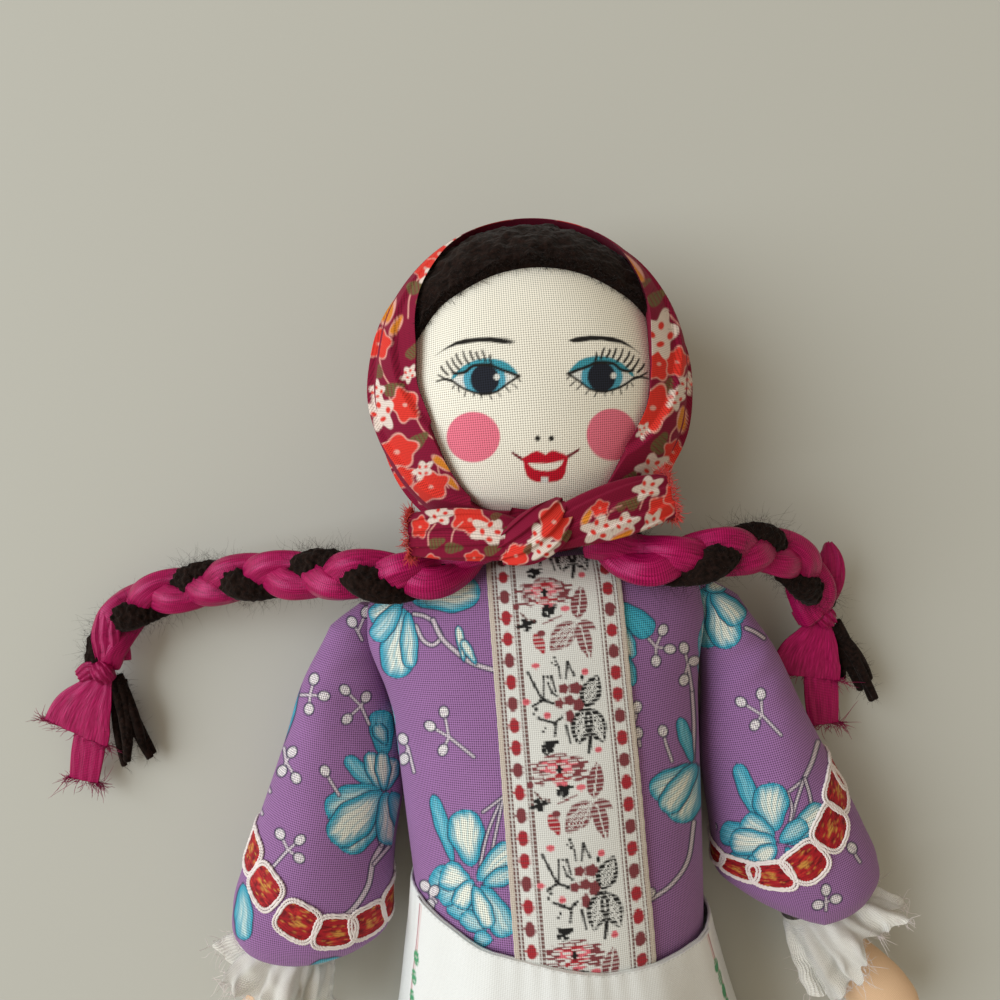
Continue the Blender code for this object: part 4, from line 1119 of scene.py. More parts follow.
INK_BLACK = dye(34, 32, 30)
PUPIL = dye(34, 38, 50)
EYE_BLUE = dye(84, 172, 200)
SHADOW_BLUE = dye(66, 160, 182)
SCLERA = dye(236, 240, 238)
CHEEK = dye(246, 128, 154)
LIP = dye(204, 20, 46)
LIP_DARK = dye(120, 22, 40)
EYE_OPENING = (
    (350, 880), (450, 800), (560, 740), (640, 665), (720, 640), (860, 630), (960, 640), (1050, 680),
    (1150, 720),
    (1260, 755), (1380, 805), (1290, 870), (1200, 930), (1100, 1010), (1000, 1050), (850, 1075), (700, 1050),
    (560, 1000), (450, 945),
)
EYE_SHADOW = (
    (330, 860), (350, 790), (430, 720), (520, 640), (620, 585), (740, 540), (860, 522), (1000, 528),
    (1120, 550),
    (1230, 600), (1320, 680), (1395, 775), (1260, 745), (1150, 710), (1050, 670), (960, 632), (860, 622),
    (720, 632), (640, 660), (560, 730), (450, 765), (400, 830),
)
UPPER_LID = ((360, 750), (450, 762), (560, 730), (640, 662), (720, 632), (860, 620), (960, 632), (1050, 672),
             (1150, 712), (1260, 748), (1340, 782), (1402, 802))
LOWER_LID = ((240, 850), (350, 882), (450, 950), (560, 1010), (700, 1058), (850, 1085), (1000, 1058),
             (1100, 1008),
             (1200, 932), (1290, 872), (1385, 808))
LASHES = (
    ((350, 870), (240, 850), (100, 885)), ((350, 880), (240, 845), (125, 780)),
    ((280, 780), (200, 700), (175, 645)),
    ((370, 745), (300, 650), (255, 565)), ((460, 700), (380, 610), (340, 515)),
    ((500, 620), (430, 520), (410, 450)),
    ((610, 610), (550, 520), (515, 410)), ((680, 550), (640, 460), (630, 405)),
    ((780, 545), (735, 470), (728, 420)),
    ((870, 565), (845, 470), (815, 395)), ((965, 605), (940, 530), (945, 465)),
)
LOWER_LASHES = (
    ((380, 950), (355, 995)), ((440, 980), (460, 1045)), ((560, 1040), (540, 1120)),
    ((690, 1080), (685, 1120)),
    ((800, 1100), (805, 1150)), ((940, 1090), (970, 1160)), ((1060, 1040), (1110, 1120)),
    ((1190, 980), (1260, 1050)),
    ((1290, 920), (1360, 990)), ((1370, 830), (1415, 885)),
)
BROW = (
    (85, 480), (250, 352), (400, 262), (560, 215), (760, 195), (960, 188), (1200, 212), (1350, 265),
    (1250, 298),
    (1120, 292), (950, 268), (760, 264), (560, 294), (420, 314), (300, 358), (200, 405),
)
LIPS = (
    (335, 525), (400, 492), (430, 475), (500, 430), (580, 405), (650, 425), (720, 465), (760, 425),
    (820, 400),
    (880, 405), (940, 430), (1010, 455), (1062, 495), (1068, 540), (1045, 630), (1030, 740), (980, 840),
    (900, 882),
    (800, 897), (700, 902), (560, 892), (470, 852), (415, 792), (385, 690), (370, 590),
)
TEETH = (
    (440, 597), (560, 603), (700, 603), (840, 590), (1000, 550), (960, 630), (880, 690), (750, 722),
    (640, 715),
    (540, 690), (480, 645),
)
CLOSE_UP = 15.68
SHINE_HALF = (2.9, 3.1)
SAME_COLOUR = 0.02


def face_places(points, corner, mirror=None):
    """Places drawn on a close-up of the face, set on the picture; mirror turns them round."""
    found = []
    for x, y in points:
        across, down = corner[0] + x / CLOSE_UP, corner[1] + y / CLOSE_UP
        if mirror:
            across, down = mirror[0] + (mirror[1] - across) * mirror[2], down + mirror[3]
        found.append(drawn((across, down)))
    return found


def oval_outline(x, y, half_x, half_y, steps=40):
    turns = [math.tau * step / steps for step in range(steps)]
    return [(x + half_x * math.cos(turn), y + half_y * math.sin(turn)) for turn in turns]


def tapering(cloth, points, first_width, last_width, colour):
    line = curved(points)
    for step, (first, second) in enumerate(zip(line, line[1:])):
        width = first_width + (last_width - first_width) * step / (len(line) - 1)
        stroke(cloth, [first, second], width, colour)


def paint_eye(cloth, corner, shine, mirror=None, brow_mirror=None):
    """Brow, shadow, lids, iris, pupil and lashes of one eye."""
    fill_outline(cloth, face_places(BROW, corner, brow_mirror), INK_BLACK)
    fill_outline(cloth, face_places(EYE_SHADOW, corner, mirror), SHADOW_BLUE)
    kept = cloth.colour.copy()
    fill_outline(cloth, face_places(EYE_OPENING, corner, mirror), SCLERA)
    changed = np.abs(cloth.colour - kept).sum(axis=1) > SAME_COLOUR
    white = np.abs(cloth.colour - np.array(SCLERA)).sum(axis=1) < SAME_COLOUR
    closed = np.where((changed | white)[:, None], 0.0, 1.0)
    before = cloth.colour.copy()
    fill_outline(cloth, face_places(oval_outline(855, 850, 335, 275), corner, mirror), EYE_BLUE)
    fill_outline(cloth, face_places(oval_outline(860, 852, 228, 232), corner, mirror), PUPIL)
    cloth.colour = cloth.colour * (1.0 - closed) + before * closed
    fill_outline(cloth, [drawn(place) for place in oval_outline(*shine, *SHINE_HALF)], SCLERA)
    for line, width in ((UPPER_LID, 0.84), (LOWER_LID, 0.66)):
        stroke(cloth, curved(face_places(line, corner, mirror)), width, INK_BLACK)
    for lash in LASHES:
        tapering(cloth, face_places(lash, corner, mirror), 0.56, 0.34, INK_BLACK)
    for lash in LOWER_LASHES:
        stroke(cloth, face_places(lash, corner, mirror), 0.36, INK_BLACK)


EYE_CORNER = (430.0, 325.0)
MOUTH_CORNER = (500.0, 425.0)
paint_eye(face_cloth, EYE_CORNER, (496.8, 377.0))
paint_eye(face_cloth, EYE_CORNER, (613.6, 375.6), (568.0, 519.3, 0.975, -2.4), (567.8, 516.0, 0.905, -1.5))

for outline in (oval_outline(473.3, 437.1, 26.8, 25.3), oval_outline(611.8, 434.6, 25.3, 26.0)):
    fill_outline(face_cloth, [drawn(place) for place in outline], CHEEK)
for x, y in ((590, 210), (805, 210)):
    fill_outline(face_cloth, face_places(oval_outline(x, y, 44, 44), MOUTH_CORNER), INK_BLACK)
for line in (((345, 535), (260, 480), (195, 435)), ((1050, 500), (1160, 440), (1240, 378))):
    tapering(face_cloth, face_places(line, MOUTH_CORNER), 0.75, 0.45, LIP_DARK)
fill_outline(face_cloth, face_places(LIPS, MOUTH_CORNER), LIP)
fill_outline(face_cloth, face_places(TEETH, MOUTH_CORNER), LINEN)
fill_outline(face_cloth, face_places(((645, 815), (755, 815), (757, 905), (643, 905)), MOUTH_CORNER), SCLERA)
face_cloth.thread = head_thread
face_cloth.keep()
cream_linen = weave_material("cream_linen", 0.62, 0.15 * MM, 0.9, 0.72, 0.07, 0.1)
head = add_piece("head", head_mesh, cream_linen, "head", "cream_linen", "head_cover", "head_stuffing")


# Hair: a pad of dark wool felted over the crown, under the kerchief. It shows as a band over the
# forehead, with loose fibres standing off it.
HAIR_GROW = 4.0 * MM
HAIR_RIM = np.array((
    (-100.0, 0.60), (-40.0, 0.61), (0.0, 0.63), (24.0, 0.662), (34.5, 0.684), (45.5, 0.714), (59.0, 0.738),
    (72.0, 0.754), (85.5, 0.764), (99.5, 0.766), (114.0, 0.762), (130.5, 0.752), (144.0, 0.732),
    (156.5, 0.718),
    (180.0, 0.66), (220.0, 0.61), (260.0, 0.60),
))
HAIR_COLUMNS = 420
HAIR_ROWS = 90
HAIR_FIBRES = 1500
HAIR_FIBRE_LENGTH = 2.6 * MM
HAIR_FIBRE_RADIUS = 0.05 * MM


def round_head(table, angles):
    """Value of a table by angle in degrees, on a smooth curve; angles in radians from -100 degrees."""
    degrees = np.mod(np.degrees(angles) + 100.0, 360.0) - 100.0
    return smooth_shares(table, degrees)[:, 0]


hair_angles = np.linspace(0.0, math.tau, HAIR_COLUMNS, endpoint=False)
hair_rim = round_head(HAIR_RIM, hair_angles)
hair_part = np.linspace(0.0, 1.0, HAIR_ROWS)[:, None]
hair_share = 0.04 + (hair_rim[None, :] - 0.04) * np.minimum(hair_part / 0.86, 1.0) ** 0.75
hair_edge = np.clip((hair_part - 0.62) / 0.38, 0.0, 1.0)
hair_middle = 0.55 + 0.45 * np.clip((np.sin(hair_angles) - 0.35) / 0.5, 0.0, 1.0)
hair_grow = HAIR_GROW * np.sqrt(np.clip(1.0 - hair_edge**2, 0.0, 1.0)) * hair_middle[None, :]
hair_angle_rows = np.repeat(hair_angles[None, :], HAIR_ROWS, axis=0)
hair_flat = on_head(hair_angle_rows, hair_share, 0.0).reshape(-1, 3)
tuft = lumpy(hair_flat, 0.55 * MM, 7.0 * MM, 11) + lumpy(hair_flat, 0.40 * MM, 2.6 * MM, 12)
hair_grow = hair_grow + tuft.reshape(hair_share.shape) * np.minimum(hair_grow / (2 * MM), 1.0)
hair_points = on_head(hair_angle_rows, hair_share, np.maximum(hair_grow, 0.0))
hair_mesh = outward(woven_mesh("hair", hair_points, True, True, False))


def thin_tubes(name, paths, radii, sides=3, point=0.5):
    """Many thin round threads in one mesh, each tapering at both ends, less with a lower point."""
    count, steps, _ = paths.shape
    along = np.gradient(paths, axis=1)
    along /= np.maximum(np.linalg.norm(along, axis=2, keepdims=True), 1e-12)
    helper = np.where(np.abs(along[..., 2:]) < 0.8, (0.0, 0.0, 1.0), (1.0, 0.0, 0.0))
    side = np.cross(along, helper)
    side /= np.maximum(np.linalg.norm(side, axis=2, keepdims=True), 1e-12)
    up = np.cross(side, along)
    turn = np.linspace(0.0, math.tau, sides, endpoint=False)
    taper = np.sin(np.linspace(0.12, math.pi - 0.12, steps)) ** point
    size = (np.asarray(radii).reshape(-1, 1) * taper)[:, :, None, None]
    ring = side[:, :, None] * np.cos(turn)[:, None] + up[:, :, None] * np.sin(turn)[:, None]
    points = paths[:, :, None] + ring * size
    tube, step, corner = np.meshgrid(np.arange(count), np.arange(steps - 1), np.arange(sides), indexing="ij")
    first = (tube * steps + step) * sides
    after = (corner + 1) % sides
    quads = np.stack((first + corner, first + after, first + sides + after, first + sides + corner), axis=-1)
    corners = quads.ravel()
    return mesh_of(name, points.reshape(-1, 3), corners, np.arange(0, len(corners), 4))


def stray_fibres(roots, normals, length, lean, seed, steps=7):
    """Loose fibres from a woollen surface: each leaves it at a slant and curls."""
    state = np.random.default_rng(seed)
    count = len(roots)
    way = normals + state.normal(size=(count, 3)) * lean
    way /= np.linalg.norm(way, axis=1, keepdims=True)
    curl = state.normal(size=(count, 3)) * 0.9
    reach = length * state.uniform(0.35, 1.0, size=(count, 1)) ** 1.4
    part = np.linspace(0.0, 1.0, steps)
    paths = roots[:, None] + (way * reach)[:, None] * part[None, :, None]
    paths += (curl * reach)[:, None] * (part**2)[None, :, None] * 0.5
    sway = (state.normal(size=(count, 3)) * reach)[:, None]
    return paths + np.sin(part * math.tau * 0.8)[None, :, None] * sway * 0.10


def tangle_of(wire, scale):
    """Noise of matted fibres over the piece's own coordinates."""
    place = wire.node("ShaderNodeTexCoord", None, None, 3)
    return wire.node("ShaderNodeTexNoise", None, {"Vector": place, "Scale": scale, "Detail": 4.0})


wool, wool_shader, wool_wire = finish_material("dark_wool", 0.95, 0.08, 0.08)
wool_tangle = tangle_of(wool_wire, 900.0)
wool_tone = wool_tangle.toned(((0.30, dye(11, 7, 6)), (0.75, dye(40, 26, 22))))
wool_tone.feed(wool_shader, "Base Color")
wool_tangle.bumped(0.5 * MM, 0.8).feed(wool_shader, "Normal")
hair = add_piece("hair", hair_mesh, wool, "head", "dark_wool", "hair_pad")

hair_normals = facing(hair_mesh)
hair_places = places(hair_mesh)
near_rim = hair_part.repeat(HAIR_COLUMNS, axis=1).ravel() > 0.80
shown = np.nonzero(near_rim & (np.sin(hair_angle_rows).ravel() > 0.35))[0]
picked = np.random.default_rng(4).choice(shown, HAIR_FIBRES, replace=False)
fibres = stray_fibres(hair_places[picked], hair_normals[picked], HAIR_FIBRE_LENGTH, 0.9, 5)
fibre_mesh = thin_tubes("hair_fibres", fibres, np.full(len(picked), HAIR_FIBRE_RADIUS))
add_piece("hair_fibres", fibre_mesh, wool, "head", "dark_wool")


# Kerchief: a triangle of burgundy printed cotton drawn round the head and tied under the chin. Its
# edge hugs the cheeks, and pleats run down both sides to the knot.
KERCHIEF_GROW = 5.6 * MM
KERCHIEF_RIM = np.array((
    (-100.0, 0.694, 2.0), (-88.0, 0.690, 2.0), (-63.5, 0.668, 2.0), (-54.5, 0.704, 2.0), (-42.5, 0.736, 2.0),
    (-28.0, 0.746, 2.2), (-12.5, 0.742, 2.4), (2.5, 0.744, 2.6), (17.5, 0.734, 3.2), (30.0, 0.712, 4.6),
    (42.0, 0.680, 5.2), (55.0, 0.640, 5.6), (65.0, 0.610, 5.7), (74.5, 0.592, 5.7), (90.0, 0.584, 5.7),
    (101.0, 0.584, 5.7), (110.0, 0.588, 5.7), (120.0, 0.606, 5.6), (131.5, 0.645, 5.2), (142.0, 0.682, 5.0),
    (151.5, 0.710, 4.4), (166.5, 0.740, 2.8), (183.0, 0.748, 2.4), (198.5, 0.756, 2.2), (216.0, 0.744, 2.0),
    (228.0, 0.720, 2.0), (238.5, 0.690, 2.0), (246.0, 0.676, 2.0), (260.0, 0.694, 2.0),
))
KERCHIEF_COLUMNS = 780
KERCHIEF_BACK_ROWS = 26
KERCHIEF_FRONT_ROWS = 140
KERCHIEF_LIP_ROWS = 12
NAPE_PRINT = 500.0
KERCHIEF_RADIUS = 36.0
BURGUNDY = dye(136, 16, 55)
PRINT_RED = dye(228, 58, 48)
PRINT_WHITE = dye(236, 222, 214)
PRINT_OLIVE = dye(112, 98, 62)
PRINT_ORANGE = dye(222, 138, 44)
PRINT_CREAM = dye(232, 170, 160)

kerchief_angles = np.linspace(0.0, math.tau, KERCHIEF_COLUMNS, endpoint=False)
rim_degrees = np.mod(np.degrees(kerchief_angles) + 100.0, 360.0) - 100.0
rim_rows = smooth_shares(KERCHIEF_RIM, rim_degrees)
rim_share, rim_grow = rim_rows[:, 0], rim_rows[:, 1] * MM
back_share = np.repeat(np.linspace(0.03, 0.44, KERCHIEF_BACK_ROWS)[:-1, None], KERCHIEF_COLUMNS, axis=1)
front_part = np.linspace(0.0, 1.0, KERCHIEF_FRONT_ROWS)[:, None]
front_share = 0.44 + (rim_share[None, :] - 0.44) * front_part
lip_part = np.linspace(0.0, 1.0, KERCHIEF_LIP_ROWS + 1)[1:, None]
rim_reach = np.cos(math.pi * (rim_share - 0.5)) * (HEAD_HALF_WIDTH + rim_grow) / HEAD_HALF_WIDTH
lip_end = 0.5 + np.arccos(np.minimum(rim_reach, 1.0)) / math.pi
lip_share = rim_share[None, :] + (lip_end - rim_share)[None, :] * lip_part
kerchief_share = np.concatenate((back_share, front_share, lip_share))
kerchief_degrees = np.repeat(rim_degrees[None, :], len(kerchief_share), axis=0)
down_left = np.clip((kerchief_degrees - 95.0) / 145.0, 0.0, 1.15)
down_right = np.clip((85.0 - kerchief_degrees) / 150.0, 0.0, 1.15)
down_side = np.where(kerchief_degrees > 90.0, down_left, down_right)
pleat_phase = (kerchief_share - 0.45) / 0.3 * 2.1 - down_side * 1.9 + 0.28
pleat_phase = pleat_phase + np.where(kerchief_degrees > 90.0, 0.0, 0.22)
pleat = np.mod(pleat_phase, 1.0)
pleat_drop = np.clip((pleat - 0.93) / 0.07, 0.0, 1.0)
pleat_rise = pleat**1.4 * (1.0 - pleat_drop * pleat_drop * (3.0 - 2.0 * pleat_drop))
pleat_depth = np.clip((down_side - 0.18) / 0.3, 0.0, 1.0) * np.clip((kerchief_share - 0.36) / 0.1, 0.0, 1.0)
kerchief_places = on_head(np.radians(kerchief_degrees), kerchief_share, 0.0).reshape(-1, 3)
slack = lumpy(kerchief_places, 0.35 * MM, 26.0 * MM, 21).reshape(kerchief_share.shape)
toward_rim = np.clip((kerchief_share - 0.5) / np.maximum(rim_share[None, :] - 0.5, 0.02), 0.0, 1.0)
kerchief_grow = KERCHIEF_GROW + (rim_grow[None, :] - KERCHIEF_GROW) * toward_rim**2.2
kerchief_grow = kerchief_grow + pleat_rise * pleat_depth * 2.0 * MM + slack - 0.7 * MM * pleat_depth
lip_rows = kerchief_grow[-KERCHIEF_LIP_ROWS - 1][None, :] * (1.0 - lip_part) + 0.15 * MM * lip_part
lip_roll = 0.5 * MM * np.sin(math.pi * lip_part) ** 0.8 * (1.0 - lip_part)
kerchief_grow[-KERCHIEF_LIP_ROWS:] = lip_rows + lip_roll
kerchief_points = on_head(np.radians(kerchief_degrees), kerchief_share, np.maximum(kerchief_grow, 0.1 * MM))
kerchief_points[:, :, 2] = np.maximum(kerchief_points[:, :, 2], 0.3 * MM)
kerchief_mesh = outward(woven_mesh("kerchief", kerchief_points, True, True, False))


def round_thread(share, aside):
    """Thread places that run out from the middle of one side of the kerchief."""
    out = share * math.pi * KERCHIEF_RADIUS
    turn = np.radians(kerchief_degrees)
    thread = np.stack((aside + out * np.cos(turn), out * np.sin(turn)), axis=2)
    return add_tips(thread.reshape(-1, 2), 1)


kerchief_thread = round_thread(1.0 - kerchief_share, 0.0)
nape_thread = round_thread(kerchief_share, NAPE_PRINT)
kerchief_cloth = Print(kerchief_mesh, kerchief_thread, BURGUNDY)
on_nape = np.append(kerchief_share.ravel() < 0.42, True)
kerchief_cloth.thread = np.where(on_nape[:, None], nape_thread, kerchief_thread)


def red_flower(cloth, centre, turn, size=1.0):
    spot(cloth, centre, 4.6 * size, 3.6 * size, PRINT_CREAM, 5, 0.14, turn)
    spot(cloth, centre, 4.2 * size, 3.2 * size, PRINT_RED, 5, 0.14, turn)
    spot(cloth, centre, 0.6 * size, 0.5 * size, PRINT_CREAM)


def white_flower(cloth, centre, turn, size=1.0):
    spot(cloth, centre, 4.6 * size, 3.0 * size, PRINT_WHITE, 5, 0.24, turn)
    for step in range(4):
        place = turned(centre, turn + step * 1.55, 1.9 * size, 0.3 * size)
        spot(cloth, place, 0.85 * size, 0.6 * size, PRINT_RED, 0, 0.0, turn + step)


def olive_leaf(cloth, centre, turn, size=1.0):
    spot(cloth, centre, 2.9 * size, 1.7 * size, PRINT_OLIVE, 3, 0.14, turn)
    for step in range(4):
        start = turned(centre, turn, -1.8 * size + step * 1.1 * size, -1.4 * size)
        end = turned(centre, turn, -1.2 * size + step * 1.1 * size, 1.4 * size)
        stroke(cloth, [start, end], 0.16, BURGUNDY)


def orange_petal(cloth, centre, turn, size=1.0):
    spot(cloth, centre, 3.8 * size, 1.5 * size, PRINT_CREAM, 0, 0.0, turn)
    spot(cloth, centre, 3.4 * size, 1.1 * size, PRINT_ORANGE, 3, 0.15, turn)


def cream_stem(cloth, centre, turn, size=1.0):
    line = [turned(centre, turn, x * size, y) for x, y in ((-4.0, -0.6), (0.0, 0.4), (4.0, -0.4))]
    stroke(cloth, curved(line), 0.34, PRINT_CREAM)


KERCHIEF_MOTIFS = {"red": red_flower, "white": white_flower, "olive": olive_leaf, "orange": orange_petal,
                   "stem": cream_stem}
scatter = np.random.default_rng(9)
for row in range(-4, 5):
    for column in range(-4, 5):
        place = (column * 12.0 + scatter.uniform(-3, 3), row * 12.0 + scatter.uniform(-3, 3))
        kind = ("red", "olive", "white", "orange", "stem", "olive")[int(scatter.integers(6))]
        place = (NAPE_PRINT + place[0], place[1])
        KERCHIEF_MOTIFS[kind](kerchief_cloth, place, scatter.uniform(0, math.pi), 0.9)
kerchief_front = np.append(kerchief_share.ravel() > 0.42, False) & (facing(kerchief_mesh)[:, 2] > 0.36)
kerchief_pixels = kerchief_cloth.pixels * ON_PICTURE
kerchief_cloth.colour[kerchief_front] = BURGUNDY
kerchief_cloth.thread = np.where(kerchief_front[:, None], kerchief_pixels, NOT_SEEN)
for kind, across, down, degrees, size in (
    ("stem", 411, 298, 75, 1.3), ("stem", 384, 372, 110, 1.3), ("stem", 393, 402, 120, 1.0),
    ("stem", 425, 430, 130, 1.1),
    ("stem", 441, 474, 110, 1.0), ("stem", 681, 330, -60, 1.2), ("stem", 641, 470, 40, 1.1),
    ("stem", 656, 452, 60, 1.0),
    ("stem", 425, 316, 80, 0.8), ("stem", 672, 436, 70, 0.8),
    ("olive", 416, 287, 20, 0.95), ("olive", 422, 300, 60, 0.7), ("olive", 412, 352, 60, 0.75),
    ("olive", 393, 389, 20, 0.95),
    ("olive", 418, 441, 40, 1.0), ("olive", 656, 298, 40, 0.95), ("olive", 644, 283, 30, 0.6),
    ("olive", 660, 444, 60, 1.05),
    ("olive", 668, 386, 70, 0.7), ("olive", 629, 480, 50, 0.85), ("olive", 545, 225, 0, 0.8),
    ("olive", 379, 372, 90, 0.6),
    ("orange", 388, 308, 75, 1.25), ("orange", 396, 326, 60, 0.8), ("orange", 441, 463, -40, 0.8),
    ("orange", 451, 482, -45, 0.7),
    ("orange", 627, 266, -42, 1.5), ("orange", 606, 251, -30, 1.1), ("orange", 682, 420, 85, 0.9),
    ("red", 440, 254, 25, 1.15), ("red", 425, 268, 40, 0.7), ("red", 494, 228, 5, 1.35),
    ("red", 379, 344, 80, 0.85),
    ("red", 405, 405, 110, 1.0), ("red", 397, 452, 20, 1.2), ("red", 431, 487, 30, 1.05),
    ("red", 659, 364, 80, 0.95),
    ("red", 677, 362, 80, 0.85), ("red", 653, 408, 68, 1.35), ("red", 663, 476, 30, 1.0),
    ("red", 673, 452, 70, 0.7),
    ("red", 570, 229, -8, 0.9), ("red", 402, 478, 30, 0.8),
    ("white", 457, 243, 25, 0.7), ("white", 430, 277, 50, 0.6), ("white", 381, 412, 100, 1.0),
    ("white", 377, 392, 90, 0.6),
    ("white", 409, 374, 60, 0.5), ("white", 423, 470, 40, 0.6), ("white", 661, 335, 80, 1.25),
    ("white", 676, 398, 70, 0.65),
    ("white", 643, 431, 60, 0.45), ("white", 652, 467, 30, 0.9), ("white", 589, 238, -20, 0.6),
    ("white", 687, 384, 80, 0.6),
):
    KERCHIEF_MOTIFS[kind](kerchief_cloth, drawn((across, down)), math.radians(degrees), size)
kerchief_cloth.thread = kerchief_thread
kerchief_cloth.keep()
burgundy_print = weave_material("burgundy_print", 0.45, 0.10 * MM, 0.9, 0.60, 0.14, 0.04)
kerchief = add_piece("kerchief", kerchief_mesh, burgundy_print, "head", "burgundy_print", "kerchief")


# Knot: the kerchief's two corners tied once under the chin. Two pleated swathes lie under a wrap,
# and the raw corners fray at both sides.
KNOT_SIDES = 150
KNOT_PRINT_SHARE = 0.9
FRAY_RED = dye(196, 60, 58)
FRAY_LENGTH = 2.4 * MM
FRAY_RADIUS = 0.10 * MM
KNOT_ROWS = 150
KNOT_SWATHES = (
    (((-31.5, 65.6, 53.0), (-23.0, 65.2, 55.5), (-12.0, 64.0, 57.6), (-2.0, 62.0, 57.8)),
     (5.6, 6.7, 6.5, 4.8), 2.0, 0.0),
    (((36.5, 70.6, 51.0), (26.0, 68.8, 55.2), (15.0, 66.4, 57.4), (5.0, 63.8, 57.8)), (6.0, 7.2, 6.8, 5.0),
     2.0, 0.35),
    (((-8.4, 59.8, 56.6), (-2.0, 62.0, 59.6), (4.0, 65.4, 59.8), (8.6, 69.6, 56.0)), (3.8, 6.2, 6.2, 3.6),
     2.3, 0.2),
)


def smooth_line(points, count):
    """Even run of points on a smooth curve through a few, in metres from millimetres."""
    points = np.array(points, float)
    gaps = np.concatenate(((0.0,), np.cumsum(np.linalg.norm(np.diff(points, axis=0), axis=1))))
    table = np.column_stack((gaps, points))
    return smooth_shares(table, np.linspace(0.0, gaps[-1], count)) * MM


def frame_along(path, up=(0.0, 0.0, 1.0)):
    """Directions along, beside and above a path."""
    along = np.gradient(path, axis=0)
    along /= np.linalg.norm(along, axis=1, keepdims=True)
    side = np.cross(along, np.array(up))
    side /= np.maximum(np.linalg.norm(side, axis=1, keepdims=True), 1e-9)
    return along, side, np.cross(side, along)


def pleated_band(path, half_widths, half_thick, phase, sides):
    """Rows round a folded band of cloth, with pleats running along it."""
    count = len(path)
    _, side, above = frame_along(path)
    at = np.linspace(0.0, 1.0, len(half_widths))
    width = smooth_shares(np.column_stack((at, half_widths)), np.linspace(0.0, 1.0, count))[:, 0] * MM
    turn = np.linspace(0.0, math.tau, sides, endpoint=False)
    cross = np.cos(turn)
    rows = np.linspace(0.0, 1.0, count)[:, None]
    pleat = np.mod(cross[None, :] * 1.9 + phase + rows * 0.7 + 4.0, 1.0)
    pleats = pleat**1.3 * (1.0 - np.clip((pleat - 0.86) / 0.14, 0.0, 1.0) ** 2) - 0.4
    flat = np.sign(np.sin(turn)) * np.abs(np.sin(turn)) ** 0.6
    thick = (half_thick * MM) * (1.0 + 0.62 * pleats) * flat[None, :]
    wide = width[:, None] * np.sign(cross) * np.abs(cross) ** 0.8
    return path[:, None] + side[:, None] * wide[:, :, None] + above[:, None] * thick[:, :, None]


KNOT_MOTIFS = (
    (("white", 440, 515, 10, 0.85), ("red", 470, 520, -8, 1.15), ("stem", 455, 532, 60, 0.9),
     ("white", 490, 532, -10, 1.15),
     ("olive", 436, 543, 20, 0.85), ("olive", 453, 548, 0, 0.9), ("olive", 510, 530, 30, 0.75),
     ("olive", 492, 550, 20, 0.85),
     ("red", 420, 527, 80, 0.7), ("red", 513, 556, 40, 0.8), ("red", 474, 558, 10, 0.6),
     ("stem", 430, 534, 70, 0.8), ("orange", 474, 506, 0, 0.6), ("olive", 496, 516, 30, 0.6),
     ("red", 430, 562, 20, 0.6)),
    (("orange", 587, 517, 60, 0.8), ("white", 600, 529, 20, 1.1), ("white", 624, 524, 20, 0.9),
     ("orange", 620, 539, 35, 1.15),
     ("olive", 590, 549, 20, 0.85), ("olive", 634, 503, 40, 0.9), ("red", 636, 546, 30, 0.8),
     ("red", 660, 510, 60, 1.0),
     ("white", 652, 524, 60, 0.8), ("stem", 646, 498, 50, 0.9), ("red", 606, 560, 10, 0.6),
     ("olive", 672, 528, 60, 0.7),
     ("white", 648, 488, 30, 0.9), ("olive", 622, 506, 40, 0.7), ("red", 676, 494, 60, 0.9),
     ("stem", 612, 512, 40, 0.8),
     ("red", 600, 508, 30, 0.6)),
    (("white", 541, 536, 60, 1.0), ("white", 544, 549, 20, 0.9), ("red", 554, 522, 80, 1.2),
     ("olive", 568, 535, 60, 0.8),
     ("red", 516, 556, 40, 0.9), ("olive", 528, 549, 60, 0.6), ("orange", 574, 512, 60, 0.6)),
)
knot_ends = []
for number, (route, half_widths, half_thick, phase) in enumerate(KNOT_SWATHES):
    path = smooth_line(route, KNOT_ROWS)
    rows = pleated_band(path, half_widths, half_thick, phase, KNOT_SIDES)
    mesh = outward(woven_mesh(f"knot_{number}", rows, True))
    band_length = np.linspace(0.0, len(rows) * 0.25, len(rows))
    band_across = np.linspace(0.0, 44.0, KNOT_SIDES)
    band_thread = add_tips(np.stack(np.meshgrid(band_across, band_length), axis=2).reshape(-1, 2), 2)
    cloth = Print(mesh, band_thread, BURGUNDY)
    cloth.thread = cloth.pixels * ON_PICTURE
    for kind, across, down, degrees, size in KNOT_MOTIFS[number]:
        KERCHIEF_MOTIFS[kind](cloth, drawn((across, down)), math.radians(degrees), size * KNOT_PRINT_SHARE)
    cloth.thread = band_thread
    cloth.keep()
    nodes = (("kerchief_end_right",), ("kerchief_end_left",), ("kerchief_knot",))[number]
    add_piece(f"knot_{number}", mesh, burgundy_print, "head", "burgundy_print", *nodes)
    if number < 2:
        knot_ends.append((rows[0], rows[0] - rows[4].mean(axis=0)))

fray_roots = np.concatenate([np.repeat(ring, 4, axis=0) for ring, _ in knot_ends])
fray_ways = np.concatenate([np.repeat(way, 4, axis=0) for _, way in knot_ends])
fray_ways[:, 0] *= 2.0
fray_ways /= np.linalg.norm(fray_ways, axis=1, keepdims=True)
fray_paths = stray_fibres(fray_roots, fray_ways, FRAY_LENGTH, 0.35, 32)
fray_mesh = thin_tubes("kerchief_fray", fray_paths, np.full(len(fray_roots), FRAY_RADIUS))
fray_cloth, _, _ = finish_material("burgundy_fray", 0.9, 0.2, 0.2, FRAY_RED)
add_piece("kerchief_fray", fray_mesh, fray_cloth, "head", "burgundy_print")


